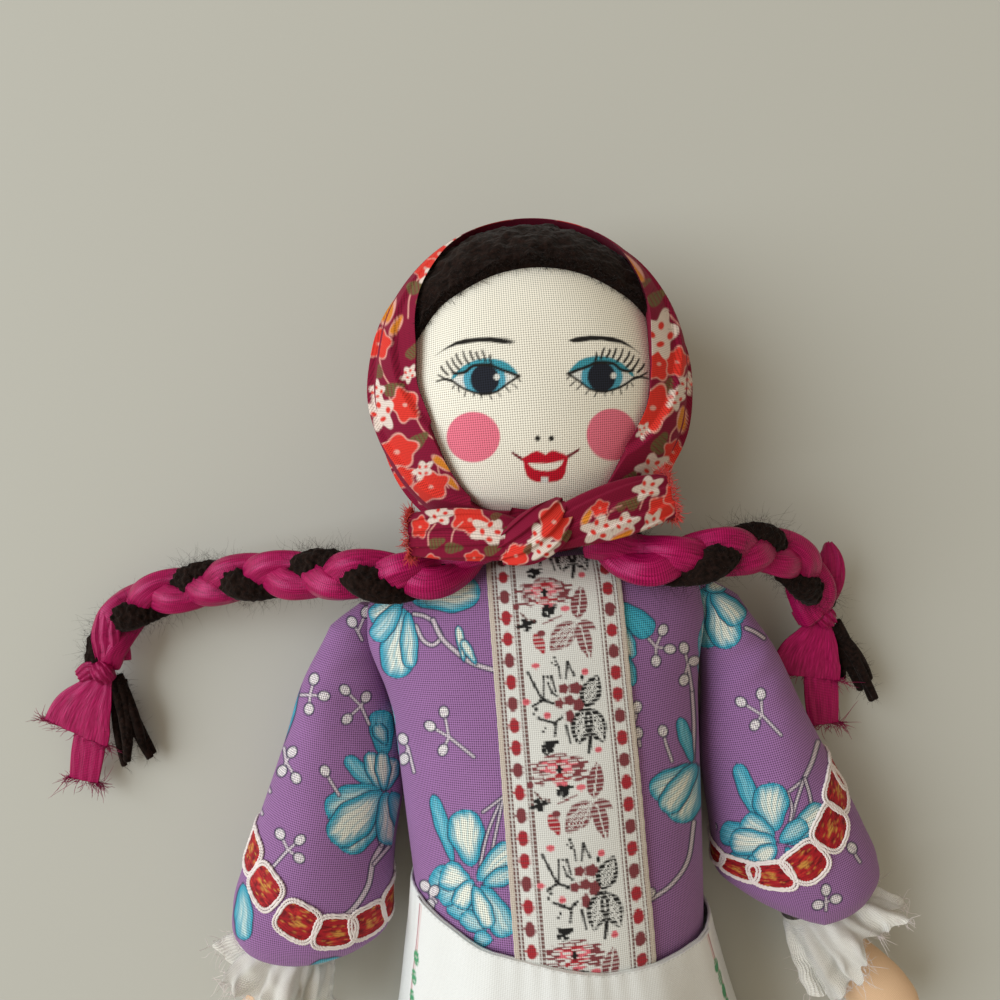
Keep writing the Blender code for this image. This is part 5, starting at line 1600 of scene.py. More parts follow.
# Plaits: three strands each, two of folded magenta satin ribbon and one of dark wool roving. They
# come out from under the kerchief's knot, lie over the shoulders and end in a tied bow and a tassel.
BRAID_PERIOD = 45.5
STRAND_SWING = 3.3
STRAND_RISE = 1.75
STRAND_HALF_WIDTH = 4.2
STRAND_HALF_THICK = 2.8
STRAND_SIDES = 44
STRAND_STEP = 0.45
FUZZ_PER_MM = 40
FUZZ_LENGTH = 5.0 * MM
FUZZ_LEAN = 1.5
FUZZ_RADIUS = 0.024 * MM
BRAIDS = {
    "left": {
        "route": ((17.0, 62.0, 42.5), (21.5, 59.6, 44.0), (25.5, 56.0, 45.5), (31.0, 53.2, 46.8),
                  (36.5, 52.6, 47.0),
                  (46.0, 53.4, 45.8), (57.0, 54.4, 42.3), (67.0, 53.2, 36.0), (74.5, 49.8, 30.5),
                  (80.0, 45.0, 25.5),
                  (84.6, 38.0, 20.0), (87.2, 31.2, 16.5)),
        "middle": 52.0,
        "lift": ((34.0, 50.5, 47.0), (45.0, 50.5, 46.0)),
        "droop": ((61.5, 49.5, 39.0), (73.5, 46.5, 31.5)),
        "phase": 6.245,
        "wool_over": -1.6,
    },
    "right": {
        "route": ((-11.0, 64.0, 41.0), (-16.0, 61.2, 42.5), (-22.5, 56.5, 44.0), (-29.0, 54.0, 45.2),
                  (-35.5, 54.0, 45.2), (-50.0, 55.4, 41.5), (-67.0, 56.0, 33.0), (-85.0, 55.6, 24.5),
                  (-103.0, 53.6, 17.0), (-118.0, 50.8, 12.0), (-127.0, 47.2, 10.0), (-132.5, 42.4, 9.0),
                  (-135.5, 36.5, 8.6), (-136.5, 31.0, 8.5)),
        "middle": 78.0,
        "lift": ((-33.0, 53.0, 45.2), (-44.0, 53.1, 43.0)),
        "droop": ((-112.0, 50.3, 13.5), (-124.0, 48.0, 10.5)),
        "phase": 2.759,
        "wool_over": 1.6,
    },
}


def strand_rows(path, phase, number, pleats, over_at=0.0):
    """Rows round one strand of a plait; over_at lifts it where it crosses one way, in mm."""
    _, side, above = frame_along(path)
    length = np.concatenate(((0.0,), np.cumsum(np.linalg.norm(np.diff(path, axis=0), axis=1)))) / MM
    turn = math.tau * length / BRAID_PERIOD + phase + number * math.tau / 3.0
    swing = STRAND_SWING * np.sin(turn)
    rise = over_at * np.cos(turn) - (STRAND_RISE - 0.35 * abs(over_at)) * np.sin(2.0 * turn)
    if over_at:
        rise = rise - 4.5 * np.exp(-(length / 15.0) ** 2)
    middle = path + side * (swing * MM)[:, None] + above * (rise * MM)[:, None]
    _, beside, over = frame_along(middle)
    angles = np.linspace(0.0, math.tau, STRAND_SIDES, endpoint=False)
    swell = 1.0 + 0.10 * np.cos(2.0 * turn + 0.6)
    folds = 1.0 + pleats * np.cos(5.0 * angles[None, :] + 0.16 * length[:, None])
    wide = STRAND_HALF_WIDTH * MM * swell[:, None] * np.cos(angles)[None, :] * folds
    thick = STRAND_HALF_THICK * MM * swell[:, None] * np.sin(angles)[None, :] * folds
    rows = middle[:, None] + beside[:, None] * wide[:, :, None] + over[:, None] * thick[:, :, None]
    rows[:, :, 2] = np.maximum(rows[:, :, 2], 0.2 * MM)
    return rows, np.stack(np.meshgrid(angles * 3.4, length), axis=2)


SATIN_DRAWN = (3.6, 0.16, 1.0)
satin, satin_shader, satin_wire = finish_material("magenta_ribbon", 0.32, 0.5, 0.0)
satin_shader.inputs["Specular Tint"].default_value = (1.0, 0.30, 0.62, 1.0)
satin_thread = satin_wire.node("ShaderNodeAttribute", {"attribute_name": "thread"}, None, 1)
satin_drawn = satin_wire.node(
    "ShaderNodeVectorMath", {"operation": "MULTIPLY"}, {0: satin_thread, 1: SATIN_DRAWN}
)
satin_lines = satin_wire.node(
    "ShaderNodeTexNoise", None, {"Vector": satin_drawn, "Scale": 1.0, "Detail": 3.0}
)
satin_rib = (satin_thread.part(1) * 7.2 + satin_lines * 3.0).sine().size()
# Colour along the ribbon's lines is partly the satin's own grain and partly painted sheen: the ramp's light
# end is a painted highlight and its dark end painted shade.
satin_grain_and_painted_sheen = (satin_lines * 0.7 + satin_rib * 0.3).toned(
    ((0.25, dye(80, 0, 34)), (0.50, dye(138, 4, 66)), (0.78, dye(192, 32, 106)))
)
satin_grain_and_painted_sheen.feed(satin_shader, "Base Color")
(satin_lines * 1.2 + satin_rib * 0.35).bumped(0.16 * MM, 0.6).feed(satin_shader, "Normal")


def keep_thread(mesh, thread):
    """Thread coordinates for a cloth with no print."""
    threads = mesh.attributes.new("thread", "FLOAT_VECTOR", "POINT")
    placed = np.zeros((len(mesh.vertices), 3), np.float32)
    placed[:len(thread), :2] = thread
    threads.data.foreach_set("vector", placed.ravel())


def add_strand(name, rows, thread, ends, woollen, bend, nodes):
    """One strand of half a plait, baked in place; the woollen one has fuzz. bend is not used."""
    mesh = outward(woven_mesh(name, rows, True, *ends))
    keep_thread(mesh, thread.reshape(-1, 2))
    look, slot_name = (wool, "dark_wool") if woollen else (satin, "magenta_ribbon")
    strand = add_piece(name, mesh, look, None, slot_name, *nodes)
    crossing = [tuple(c * MM for c in place) for place in bend]
    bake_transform(strand)
    if woollen:
        state = np.random.default_rng(len(name))
        fuzz = round(len(rows) * STRAND_STEP * FUZZ_PER_MM)
        chosen = state.integers(0, rows.shape[0] * rows.shape[1], fuzz)
        roots, ways = places(mesh)[chosen], facing(mesh)[chosen]
        fibres = stray_fibres(roots, ways, FUZZ_LENGTH, FUZZ_LEAN, 43 + len(name), 10)
        fibres[:, :, 2] = np.maximum(fibres[:, :, 2], 0.15 * MM)
        fuzz_mesh = thin_tubes(f"{name}_fuzz", fibres, np.full(len(chosen), FUZZ_RADIUS))
        fuzz = add_piece(f"{name}_fuzz", fuzz_mesh, wool, None, "dark_wool")
        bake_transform(fuzz)


for side_name, plait in BRAIDS.items():
    route = plait["route"]
    plait_length = sum(math.dist(a, b) for a, b in zip(route, route[1:]))
    plait_path = smooth_line(route, round(plait_length / STRAND_STEP))
    half = int(np.argmin(np.abs(np.abs(plait_path[:, 0]) - plait["middle"] * MM)))
    for number in range(3):
        woollen = number == 2
        pleats, over_at = (0.02, plait["wool_over"]) if woollen else (0.05, 0.0)
        rows, thread = strand_rows(plait_path, plait["phase"], number, pleats, over_at)
        if woollen:
            tufts = lumpy(rows.reshape(-1, 3), 0.65 * MM, 2.4 * MM, 41).reshape(*rows.shape[:2], 1)
            rows = rows + tufts * (0.0, 0.5, 1.0)
            rows[:, :, 2] = np.maximum(rows[:, :, 2], 0.2 * MM)
        add_strand(
            f"plait_{side_name}_head_{number}", rows[:half + 1], thread[:half + 1], (True, False), woollen,
            plait["lift"],
            (f"braid_root_{side_name}", f"braid_{side_name}") if number == 0 else (),
        )
        add_strand(
            f"plait_{side_name}_end_{number}", rows[half:], thread[half:], (False, True), woollen,
            plait["droop"],
            (f"braid_tail_{side_name}",) if number == 0 else (),
        )


# Bows and tassels: each plait is tied off with its own ribbon ends, in a bow with one long loop and
# fanned raw tails, and the wool strand hangs out below as a tassel.
BOW_BANDS = (
    (((-0.3, 0.8, 1.0), (1.5, 8.0, 3.4), (2.6, 15.0, 4.2), (3.3, 19.6, 3.2), (3.5, 21.4, 1.6)),
     (1.8, 3.6, 4.6, 4.0, 1.4), 1.7, 0.4),
    (((-1.0, -0.5, 1.0), (-5.0, 1.0, 2.4), (-8.4, -0.6, 1.8)), (1.8, 3.0, 2.2), 1.2, 0.3),
    (((-0.5, -3.0, 0.2), (-1.0, -13.0, 0.2), (-0.9, -24.0, -1.0), (-0.4, -35.0, -2.6)), (2.4, 4.6, 5.4, 4.8),
     0.6, 0.0),
    (((0.0, -1.0, 1.6), (-2.4, -7.0, 2.0), (-4.8, -13.0, 1.0), (-6.0, -19.0, -0.4)), (2.4, 6.8, 10.0, 11.2),
     0.6, 0.6),
    (((-2.0, 2.6, 2.2), (0.0, 0.0, 3.6), (1.6, -2.4, 2.4)), (2.6, 3.2, 2.6), 2.0, 0.2),
)
BOW_KNOTS = {
    "left": ((89.0, 29.6, 14.2), 0.0, (0.42, -0.88, -0.22), 2.5),
    "right": ((-136.6, 27.8, 8.0), 0.34, (0.16, -0.98, -0.04), 2.0),
}
TASSEL_STRANDS = 8
TASSEL_LENGTH = 31.0
TASSEL_FIBRES = 1800
TASSEL_FIBRE_LENGTH = 3.6 * MM
TASSEL_FIBRE_RADIUS = 0.035 * MM
BOW_FRAY_LENGTH = 4.5 * MM
BOW_FRAY_RADIUS = 0.09 * MM
BOW_ROWS = 90
BOW_SIDES = 48
BOW_THREAD_WIDTH = 6.0
BOW_THREAD_LENGTH = 27.0
for side_name, (knot, lean, fall, aside) in BOW_KNOTS.items():
    body = f"plait_end_{side_name}"
    frayed = []
    for number, (route, half_widths, half_thick, phase) in enumerate(BOW_BANDS):
        places_along = [(knot[0] + x + lean * min(y, 0.0), knot[1] + y, knot[2] + z) for x, y, z in route]
        path = smooth_line(places_along, BOW_ROWS)
        rows = pleated_band(path, half_widths, half_thick, phase, BOW_SIDES)
        rows[:, :, 2] = np.maximum(rows[:, :, 2], 0.3 * MM)
        mesh = outward(woven_mesh(f"bow_{side_name}_{number}", rows, True))
        across = np.cos(np.linspace(0.0, math.tau, BOW_SIDES, endpoint=False)) * BOW_THREAD_WIDTH
        across = np.broadcast_to(across, rows.shape[:2])
        down = np.broadcast_to(np.linspace(0.0, BOW_THREAD_LENGTH, BOW_ROWS)[:, None], rows.shape[:2])
        keep_thread(mesh, np.stack((across, down), axis=2).reshape(-1, 2))
        nodes = (f"braid_bow_{side_name}",) if number == 0 else ()
        add_piece(f"bow_{side_name}_{number}", mesh, satin, body, "magenta_ribbon", *nodes)
        if number in (2, 3):
            frayed.append((rows[-1], rows[-1] - rows[-6].mean(axis=0)))
    roots = np.concatenate([np.repeat(ring, 3, axis=0) for ring, _ in frayed])
    ways = np.concatenate([np.repeat(way, 3, axis=0) for _, way in frayed])
    ways /= np.linalg.norm(ways, axis=1, keepdims=True)
    paths = stray_fibres(roots, ways, BOW_FRAY_LENGTH, 0.25, 61)
    paths[:, :, 2] = np.maximum(paths[:, :, 2], 0.15 * MM)
    fray = thin_tubes(f"bow_fray_{side_name}", paths, np.full(len(roots), BOW_FRAY_RADIUS))
    fray_thread = np.random.default_rng(6).uniform(0.0, 30.0, size=(len(fray.vertices), 2))
    keep_thread(fray, fray_thread)
    add_piece(f"bow_fray_{side_name}", fray, satin, body, "magenta_ribbon")

    state = np.random.default_rng(70 + len(side_name))
    start = np.array(knot) + (aside, -2.5, -0.6)
    yarns = []
    for strand in range(TASSEL_STRANDS):
        spread = state.normal(size=3) * (0.13, 0.02, 0.05)
        way = np.array(fall) + spread
        way /= np.linalg.norm(way)
        length = TASSEL_LENGTH * state.uniform(0.55, 1.0)
        first = start + state.normal(size=3) * (1.2, 0.6, 1.0)
        bow_out = state.normal(size=3) * (1.5, 0.4, 1.0)
        part = np.linspace(0.0, 1.0, 40)[:, None]
        yarns.append((first + way * length * part + bow_out * np.sin(math.pi * part)) * MM)
    yarns = np.array(yarns)
    yarn_size = state.uniform(1.15, 1.55, size=TASSEL_STRANDS) * MM
    yarns[:, :, 2] = np.maximum(yarns[:, :, 2], 1.5 * MM)
    tassel_mesh = thin_tubes(f"tassel_{side_name}", yarns, yarn_size, 12, 0.16)
    tassel = add_piece(
        f"tassel_{side_name}", tassel_mesh, wool, body, "dark_wool", f"braid_tassel_{side_name}",
    )
    chosen = state.integers(0, len(tassel_mesh.vertices), TASSEL_FIBRES)
    roots, ways = places(tassel_mesh)[chosen], facing(tassel_mesh)[chosen]
    fibres = stray_fibres(roots, ways, TASSEL_FIBRE_LENGTH, 0.9, 72, 9)
    fibres[:, :, 2] = np.maximum(fibres[:, :, 2], 0.15 * MM)
    tassel_fuzz = thin_tubes(f"tassel_fuzz_{side_name}", fibres, np.full(len(chosen), TASSEL_FIBRE_RADIUS))
    add_piece(f"tassel_fuzz_{side_name}", tassel_fuzz, wool, body, "dark_wool")


# Arms: pear-shaped bags of the same purple cotton, narrow at the shoulder seam and full above the
# wrist, where they are drawn in.
ARM_LENGTH = 109.0 * MM
ARM_HALF_WIDTH = 25.0 * MM
ARM_HALF_THICK = 17.5 * MM
SHOULDERS = {"left": (54.87, 37.0, 19.2), "right": (-54.87, 37.0, 19.2)}
ARM_LEAN = math.radians(13.0)
SLEEVE_SHARES = np.array((
    (-0.075, 0.140, 0.250),
    (-0.020, 0.250, 0.380),
    (0.050, 0.320, 0.460),
    (0.140, 0.410, 0.560),
    (0.260, 0.520, 0.710),
    (0.400, 0.670, 0.870),
    (0.550, 0.800, 0.970),
    (0.700, 0.910, 1.000),
    (0.790, 0.950, 0.960),
    (0.850, 0.870, 0.860),
    (0.888, 0.640, 0.680),
    (0.905, 0.420, 0.480),
    (0.925, 0.260, 0.330),
    (1.000, 0.200, 0.260),
))
SLEEVE_TOP_DRIFT = 4.0 * MM
SLEEVE_BULGE = 2.4 * MM
SLEEVE_SLANT = {"left": (0.60, 0.56, 0.06), "right": (0.73, 0.20, 0.20)}
SLEEVE_INNER = {"left": 0.12, "right": 0.50}
SLEEVE_FRONT_STEPS = 290
SLEEVE_BACK_STEPS = 90
SLEEVE_ROWS = 370


def arm_place(side_name, x, y, z):
    """Places written along an arm, set where the arm lies."""
    shoulder = np.array(SHOULDERS[side_name]) * MM
    lean = ARM_LEAN if side_name == "left" else -ARM_LEAN
    return np.stack((
        shoulder[0] + x * math.cos(lean) - y * math.sin(lean),
        shoulder[1] + x * math.sin(lean) + y * math.cos(lean),
        shoulder[2] + z,
    ), axis=-1)


def on_sleeve(side_name, angles, stations, grow):
    """Places on a sleeve by angle round it and share of its length, raised by grow."""
    flat = np.broadcast_to(stations, np.broadcast(angles, stations).shape)
    width, thick = smooth_shares(SLEEVE_SHARES, flat.ravel()).T.reshape(2, *flat.shape)
    half_width = width * ARM_HALF_WIDTH
    half_thick = thick * ARM_HALF_THICK
    crease = np.exp(-((flat - 0.14) / 0.13) ** 2) * np.sin(angles) * 0.45 * MM
    crease = crease * np.sin(flat * 70.0 + 2.2 * np.cos(angles) + (1.0 if side_name == "left" else 2.4))
    outer = 1.0 if side_name == "left" else -1.0
    drift = SLEEVE_BULGE * np.exp(-((flat - 0.18) / 0.15) ** 2)
    drift = drift - SLEEVE_TOP_DRIFT * np.clip(-flat / 0.075, 0.0, 1.0)
    toward_torso = np.clip(-np.cos(angles) * outer, 0.0, 1.0) * np.exp(-((flat - 0.24) / 0.24) ** 2)
    x = (half_width * (1.0 + SLEEVE_INNER[side_name] * toward_torso) + grow) * np.cos(angles) + outer * drift
    z = (half_thick + grow + crease) * np.sin(angles)
    inner = -np.cos(angles) * outer * half_width
    slant_from, slant_up, slant_down = SLEEVE_SLANT[side_name]
    slant = np.clip((flat - slant_from) / (0.90 - slant_from), 0.0, 1.0)
    slant = slant * slant * (3.0 - 2.0 * slant)
    y = slant * np.where(inner > 0.0, slant_up * inner, slant_down * inner) - ARM_LENGTH * flat
    placed = arm_place(side_name, x, y, z)
    soft = lumpy(placed.reshape(-1, 3), 0.6 * MM, 30.0 * MM, 50).reshape(flat.shape)
    placed[..., 2] += soft * np.abs(np.sin(angles))
    return placed


SLEEVE_PRINTS = {
    "right": (
        ((((382, 845), (373, 862), (368, 886), (354, 908), (338, 921)), 1.1),
         (((384, 800), (386, 822), (382, 845)), 0.8),
         (((396, 838), (386, 850), (374, 864)), 0.7), (((378, 804), (376, 824), (380, 842)), 0.5),
         (((392, 880), (400, 872), (408, 864)), 0.5), (((392, 880), (402, 878), (412, 876)), 0.5)),
        ((378, 790, 346, 757, 17, 0.15), (384, 756, 380, 710, 26, 0.10), (386, 744, 376, 724, 14, 0.45),
         (380, 790, 369, 752, 17, 0.80), (386, 790, 394, 758, 17, 0.70), (384, 790, 382, 752, 16, 0.90),
         (380, 790, 328, 818, 44, 0.55), (380, 792, 344, 852, 38, 0.75), (382, 792, 332, 842, 40, 0.95),
         (386, 792, 390, 845, 26, 0.65), (392, 792, 408, 830, 24, 0.35),
         (302, 668, 275, 752, 14, 0.10), (243, 884, 244, 940, 19, 0.35), (340, 958, 308, 972, 12, 0.15),
         (352, 960, 372, 950, 10, 0.10)),
        (((301, 695), (310, 695), (314, 679), (324, 696), (309, 709)),
         ((369, 724), (361, 706), (345, 690), (366, 697), (347, 719)),
         ((284, 748), (286, 762), (292, 752), (282, 771), (296, 778)), ((339, 795), (331, 782), (325, 771)),
         ((271, 869), (288, 850), (280, 834), (300, 840), (299, 858)),
         ((362, 640), (358, 632), (352, 622), (366, 612)),
         ((270, 792), (268, 786), (264, 782)), ((262, 814), (260, 808), (257, 804)),
         ((245, 858), (243, 852), (240, 846))),
    ),
    "left": (
        ((((746, 628), (755, 632), (764, 638)), 0.8), (((818, 742), (812, 762), (804, 779)), 0.9),
         (((804, 779), (796, 786), (786, 794)), 0.6), (((804, 779), (797, 800), (791, 822)), 0.6),
         (((805, 779), (810, 796), (812, 814)), 0.6), (((788, 794), (792, 808), (790, 822)), 0.5)),
        ((704, 588, 708, 648, 26, 0.20), (700, 590, 712, 622, 24, 0.35), (712, 590, 730, 648, 34, 0.75),
         (712, 592, 742, 622, 26, 0.70), (706, 590, 728, 578, 20, 0.90),
         (770, 842, 728, 868, 24, 0.10), (772, 846, 746, 874, 20, 0.20), (760, 838, 720, 832, 26, 0.10),
         (788, 844, 824, 806, 26, 0.75), (780, 842, 806, 822, 20, 0.30), (760, 822, 737, 764, 18, 0.10),
         (774, 832, 769, 783, 36, 0.70), (774, 838, 742, 820, 26, 0.55), (776, 842, 730, 842, 28, 0.90),
         (776, 846, 756, 862, 22, 1.0), (786, 848, 800, 866, 14, 0.20)),
        (((781, 735), (762, 715), (741, 702), (761, 694), (755, 725)),
         ((826, 910), (826, 902), (818, 905), (826, 890), (836, 899)),
         ((704, 842), (709, 836), (712, 828)), ((860, 862), (856, 856), (852, 848))),
    ),
}
sleeve_angles = round_angles(SLEEVE_FRONT_STEPS, SLEEVE_BACK_STEPS)
sleeve_stations = close_stations(SLEEVE_SHARES, SLEEVE_ROWS)
for side_name in ("left", "right"):
    rows = on_sleeve(side_name, sleeve_angles[None, :], sleeve_stations[:, None], 0.0)
    mesh = outward(woven_mesh(f"sleeve_{side_name}", rows, True))
    thread = thread_of(rows, SLEEVE_FRONT_STEPS // 2)
    cloth = Print(mesh, add_tips(thread, 2), PURPLE)
    for number, (x, y) in enumerate(((62.0, -34.0), (70.0, -66.0), (-62.0, -48.0), (66.0, -96.0))):
        flower(cloth, (x, y), number * 1.3, 0.9)
    picture_print(cloth, *SLEEVE_PRINTS[side_name])
    cloth.keep()
    sleeve = add_piece(
        f"sleeve_{side_name}", mesh, purple_cotton, f"arm_{side_name}", "purple_cotton",
        f"sleeve_{side_name}", f"arm_stuffing_{side_name}",
    )


# Cuff trim: a row of red and gold brocade medallions, each bound round with twisted white cord and
# sewn on side by side, dipping towards the wrist over the front of the sleeve.
MEDALLION_PLACES = {
    "left": ((13, 0.530), (40, 0.556), (65, 0.624), (93, 0.684), (119, 0.720), (145, 0.716), (178, 0.690),
             (213, 0.655), (250, 0.610), (287, 0.570), (325, 0.540)),
    "right": ((27, 0.620), (57, 0.676), (88, 0.740), (115, 0.768), (142, 0.752), (175, 0.720), (210, 0.690),
              (246, 0.670), (282, 0.650), (318, 0.625), (354, 0.610)),
}
MEDALLION_HALF = (5.4, 4.8)
CORD_RADIUS = 0.35 * MM
CORD_TURNS = 34
CORD_STEPS = 170
GOLD = dye(220, 160, 74)
CORD_WHITE = dye(226, 218, 218)
BROCADE_RED = dye(176, 26, 40)
BROCADE_DARK = dye(104, 14, 26)
BROCADE_LIGHT = dye(214, 52, 50)


def shield(turn, grow=0.0):
    """Rounded square, flatter along its upper edge."""
    across = np.sign(np.cos(turn)) * np.abs(np.cos(turn)) ** 0.55
    power = np.where(np.sin(turn) < 0.0, 0.45, 0.70)
    along = np.sign(np.sin(turn)) * np.abs(np.sin(turn)) ** power
    return (MEDALLION_HALF[0] + grow) * across, (MEDALLION_HALF[1] + grow) * along


brocade = weave_material("brocade_trim", 0.34, 0.16 * MM, 0.55, 0.35, 0.2, 0.0, slub=1.4)
cord_white, _, _ = finish_material("cord_white", 0.8, 0.3, 0.2, CORD_WHITE)
for side_name, table in MEDALLION_PLACES.items():
    outer_first = np.array(table, float)
    angles = np.radians(outer_first[:, 0] if side_name == "left" else 180.0 - outer_first[:, 0])
    stations = outer_first[:, 1]
    patches = []
    cords = []
    for number, (angle, station) in enumerate(zip(angles, stations)):
        width, thick = smooth_shares(SLEEVE_SHARES, np.array((station,)))[0]
        reach = math.hypot(width * ARM_HALF_WIDTH * math.sin(angle), thick * ARM_HALF_THICK * math.cos(angle))
        before, after = (number - 1) % len(angles), (number + 1) % len(angles)
        swing = math.remainder(angles[after] - angles[before], math.tau)
        tilt = math.atan2((stations[after] - stations[before]) * ARM_LENGTH, swing * reach)

        def medallion_place(p, q, grow):
            """Place on the sleeve at a distance along the band and across it, in millimetres."""
            along = p * math.cos(tilt) - q * math.sin(tilt)
            down = p * math.sin(tilt) + q * math.cos(tilt)
            return on_sleeve(side_name, angle + along * MM / reach, station + down * MM / ARM_LENGTH, grow)

        radius, turn = round_grid(27)
        p, q = shield(turn)
        p, q = p * radius, q * radius
        rows = medallion_place(p, q, 0.45 * MM)
        patch_mesh = woven_mesh(f"medallion_{side_name}_{number}", rows, False)
        patch_cloth = Print(patch_mesh, np.stack((p, q), axis=2).reshape(-1, 2), BROCADE_RED)
        flecks = np.random.default_rng(80 + number)
        for colour, count, size in ((BROCADE_DARK, 40, 0.40), (BROCADE_LIGHT, 34, 0.40), (GOLD, 12, 0.28)):
            for x, y in flecks.uniform(-1.0, 1.0, size=(count, 2)) * MEDALLION_HALF:
                spot(patch_cloth, (x, y), size * 1.6, size * 0.6, colour)
        for x, y in flecks.normal(size=(16, 2)) * (1.0, 0.8):
            spot(patch_cloth, (x, y), 0.62, 0.22, GOLD)
        for row in np.arange(-4.4, 4.5, 0.8):
            stroke(patch_cloth, [(-6.0, row), (6.0, row)], 0.12, BROCADE_DARK)
        patch_cloth.keep()
        patches.append(patch_mesh)

        loop = np.linspace(0.0, math.tau, CORD_STEPS)
        for ply, grow in enumerate((0.1, 0.85)):
            p, q = shield(loop, grow)
            line = medallion_place(p, q, 0.45 * MM)
            outside = medallion_place(p, q, 1.45 * MM) - line
            outside /= np.linalg.norm(outside, axis=1, keepdims=True)
            along = np.gradient(line, axis=0)
            along[0] = along[-1] = line[1] - line[-2]
            beside = np.cross(along, outside)
            beside /= np.linalg.norm(beside, axis=1, keepdims=True)
            round_cord = np.linspace(0.0, math.tau, 12, endpoint=False)
            lobes = 1.0 + 0.32 * np.cos(2.0 * (round_cord[None, :] + loop[:, None] * CORD_TURNS / 2.0))
            ring = beside[:, None] * (np.cos(round_cord) * lobes)[:, :, None]
            ring = ring + outside[:, None] * (np.sin(round_cord) * lobes)[:, :, None]
            tube = line[:, None] + ring * CORD_RADIUS
            cords.append(woven_mesh(f"cord_{side_name}_{number}_{ply}", tube, True, False, False))
    for kind, meshes, look, slot_name in (("medallions", patches, brocade, "brocade_trim"),
                                          ("medallion_cord", cords, cord_white, "brocade_trim")):
        made = []
        for mesh in meshes:
            outward(mesh)
            single = bpy.data.objects.new(mesh.name, mesh)
            bpy.context.collection.objects.link(single)
            made.append(single)
        with bpy.context.temp_override(active_object=made[0], selected_editable_objects=made):
            bpy.ops.object.join()
        joined = made[0]
        joined.name = f"{kind}_{side_name}"
        joined.data.materials.clear()
        joined.data.materials.append(look)
        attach(joined, f"arm_{side_name}")
        if kind == "medallions":
            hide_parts(f"cuff_trim_{side_name}")


# Wrist frills and hands: a strip of thin white gauze gathered round each wrist, its raw edge
# frayed, over a stuffed mitten of peach cotton.
FRILL_FROM_SHARE = 0.870
FRILL_LENGTH = 18.5 * MM
FRILL_NECK = (9.0 * MM, 7.6 * MM)
FRILL_HALF_WIDTH = 17.5 * MM
FRILL_HALF_THICK = 12.5 * MM
WRIST_TURN = math.radians(20.0)
FRILL_COLUMNS = 380
FRILL_ROWS = 70
FRILL_FOLD = 2.5 * MM
FRILL_THREADS = 420
FRILL_THREAD_LENGTH = 4.6 * MM
FRILL_THREAD_RADIUS = 0.07 * MM
HAND_LENGTH = 36.0 * MM
HAND_FROM = -0.93 * ARM_LENGTH
HAND_HALF_WIDTH = 9.8 * MM
HAND_HALF_THICK = 6.8 * MM
HAND_ROWS = 70
HAND_SIDES = 72
HAND_SHARES = np.array((
    (0.000, 0.55, 0.80),
    (0.030, 0.64, 0.90),
    (0.300, 0.66, 0.90),
    (0.480, 0.86, 0.98),
    (0.700, 1.00, 1.00),
    (0.880, 0.86, 0.84),
    (0.965, 0.55, 0.55),
    (1.000, 0.22, 0.25),
))
GAUZE_WHITE = dye(254, 254, 250)
PEACH = dye(228, 194, 160)
GAUZE_PITCH = (0.50, 0.56)
GAUZE_LEAST_COVER = 0.72
gauze, gauze_shader, gauze_wire = finish_material("gauze", 0.95, 0.15, 0.3, GAUZE_WHITE)
gauze_thread = gauze_wire.node("ShaderNodeAttribute", {"attribute_name": "thread"}, None, 1)
gauze_slub = gauze_wire.node(
    "ShaderNodeTexNoise", None, {"Vector": gauze_thread, "Scale": 0.7, "Detail": 2.0}
)
gauze_warp = (gauze_thread.part(0) * (math.pi / GAUZE_PITCH[0]) + gauze_slub * 3.0).sine().size()
gauze_weft = (gauze_thread.part(1) * (math.pi / GAUZE_PITCH[1]) + gauze_slub * 4.0).sine().size()
gauze_cover = (gauze_warp.maths("MAXIMUM", gauze_warp, gauze_weft) - 0.55) * 6.0 + (gauze_slub - 0.4) * 1.5
gauze_cover = gauze_cover.node("ShaderNodeClamp", None, {0: gauze_cover, 1: GAUZE_LEAST_COVER, 2: 1.0})
gauze_cover.feed(gauze_shader, "Alpha")
(gauze_warp + gauze_weft).bumped(0.2 * MM).feed(gauze_shader, "Normal")
peach_cotton = weave_material("peach_cotton", 0.40, 0.08 * MM, 0.9, 0.12, 0.1, 0.1, PEACH)


def wrist_place(side_name, x, y, z):
    """Places written along the hand, which is turned outwards at the wrist."""
    turn = WRIST_TURN if side_name == "left" else -WRIST_TURN
    wrist = -ARM_LENGTH * FRILL_FROM_SHARE
    turned_x = x * math.cos(turn) - (y - wrist) * math.sin(turn)
    turned_y = x * math.sin(turn) + (y - wrist) * math.cos(turn)
    return arm_place(side_name, turned_x, wrist + turned_y, z)


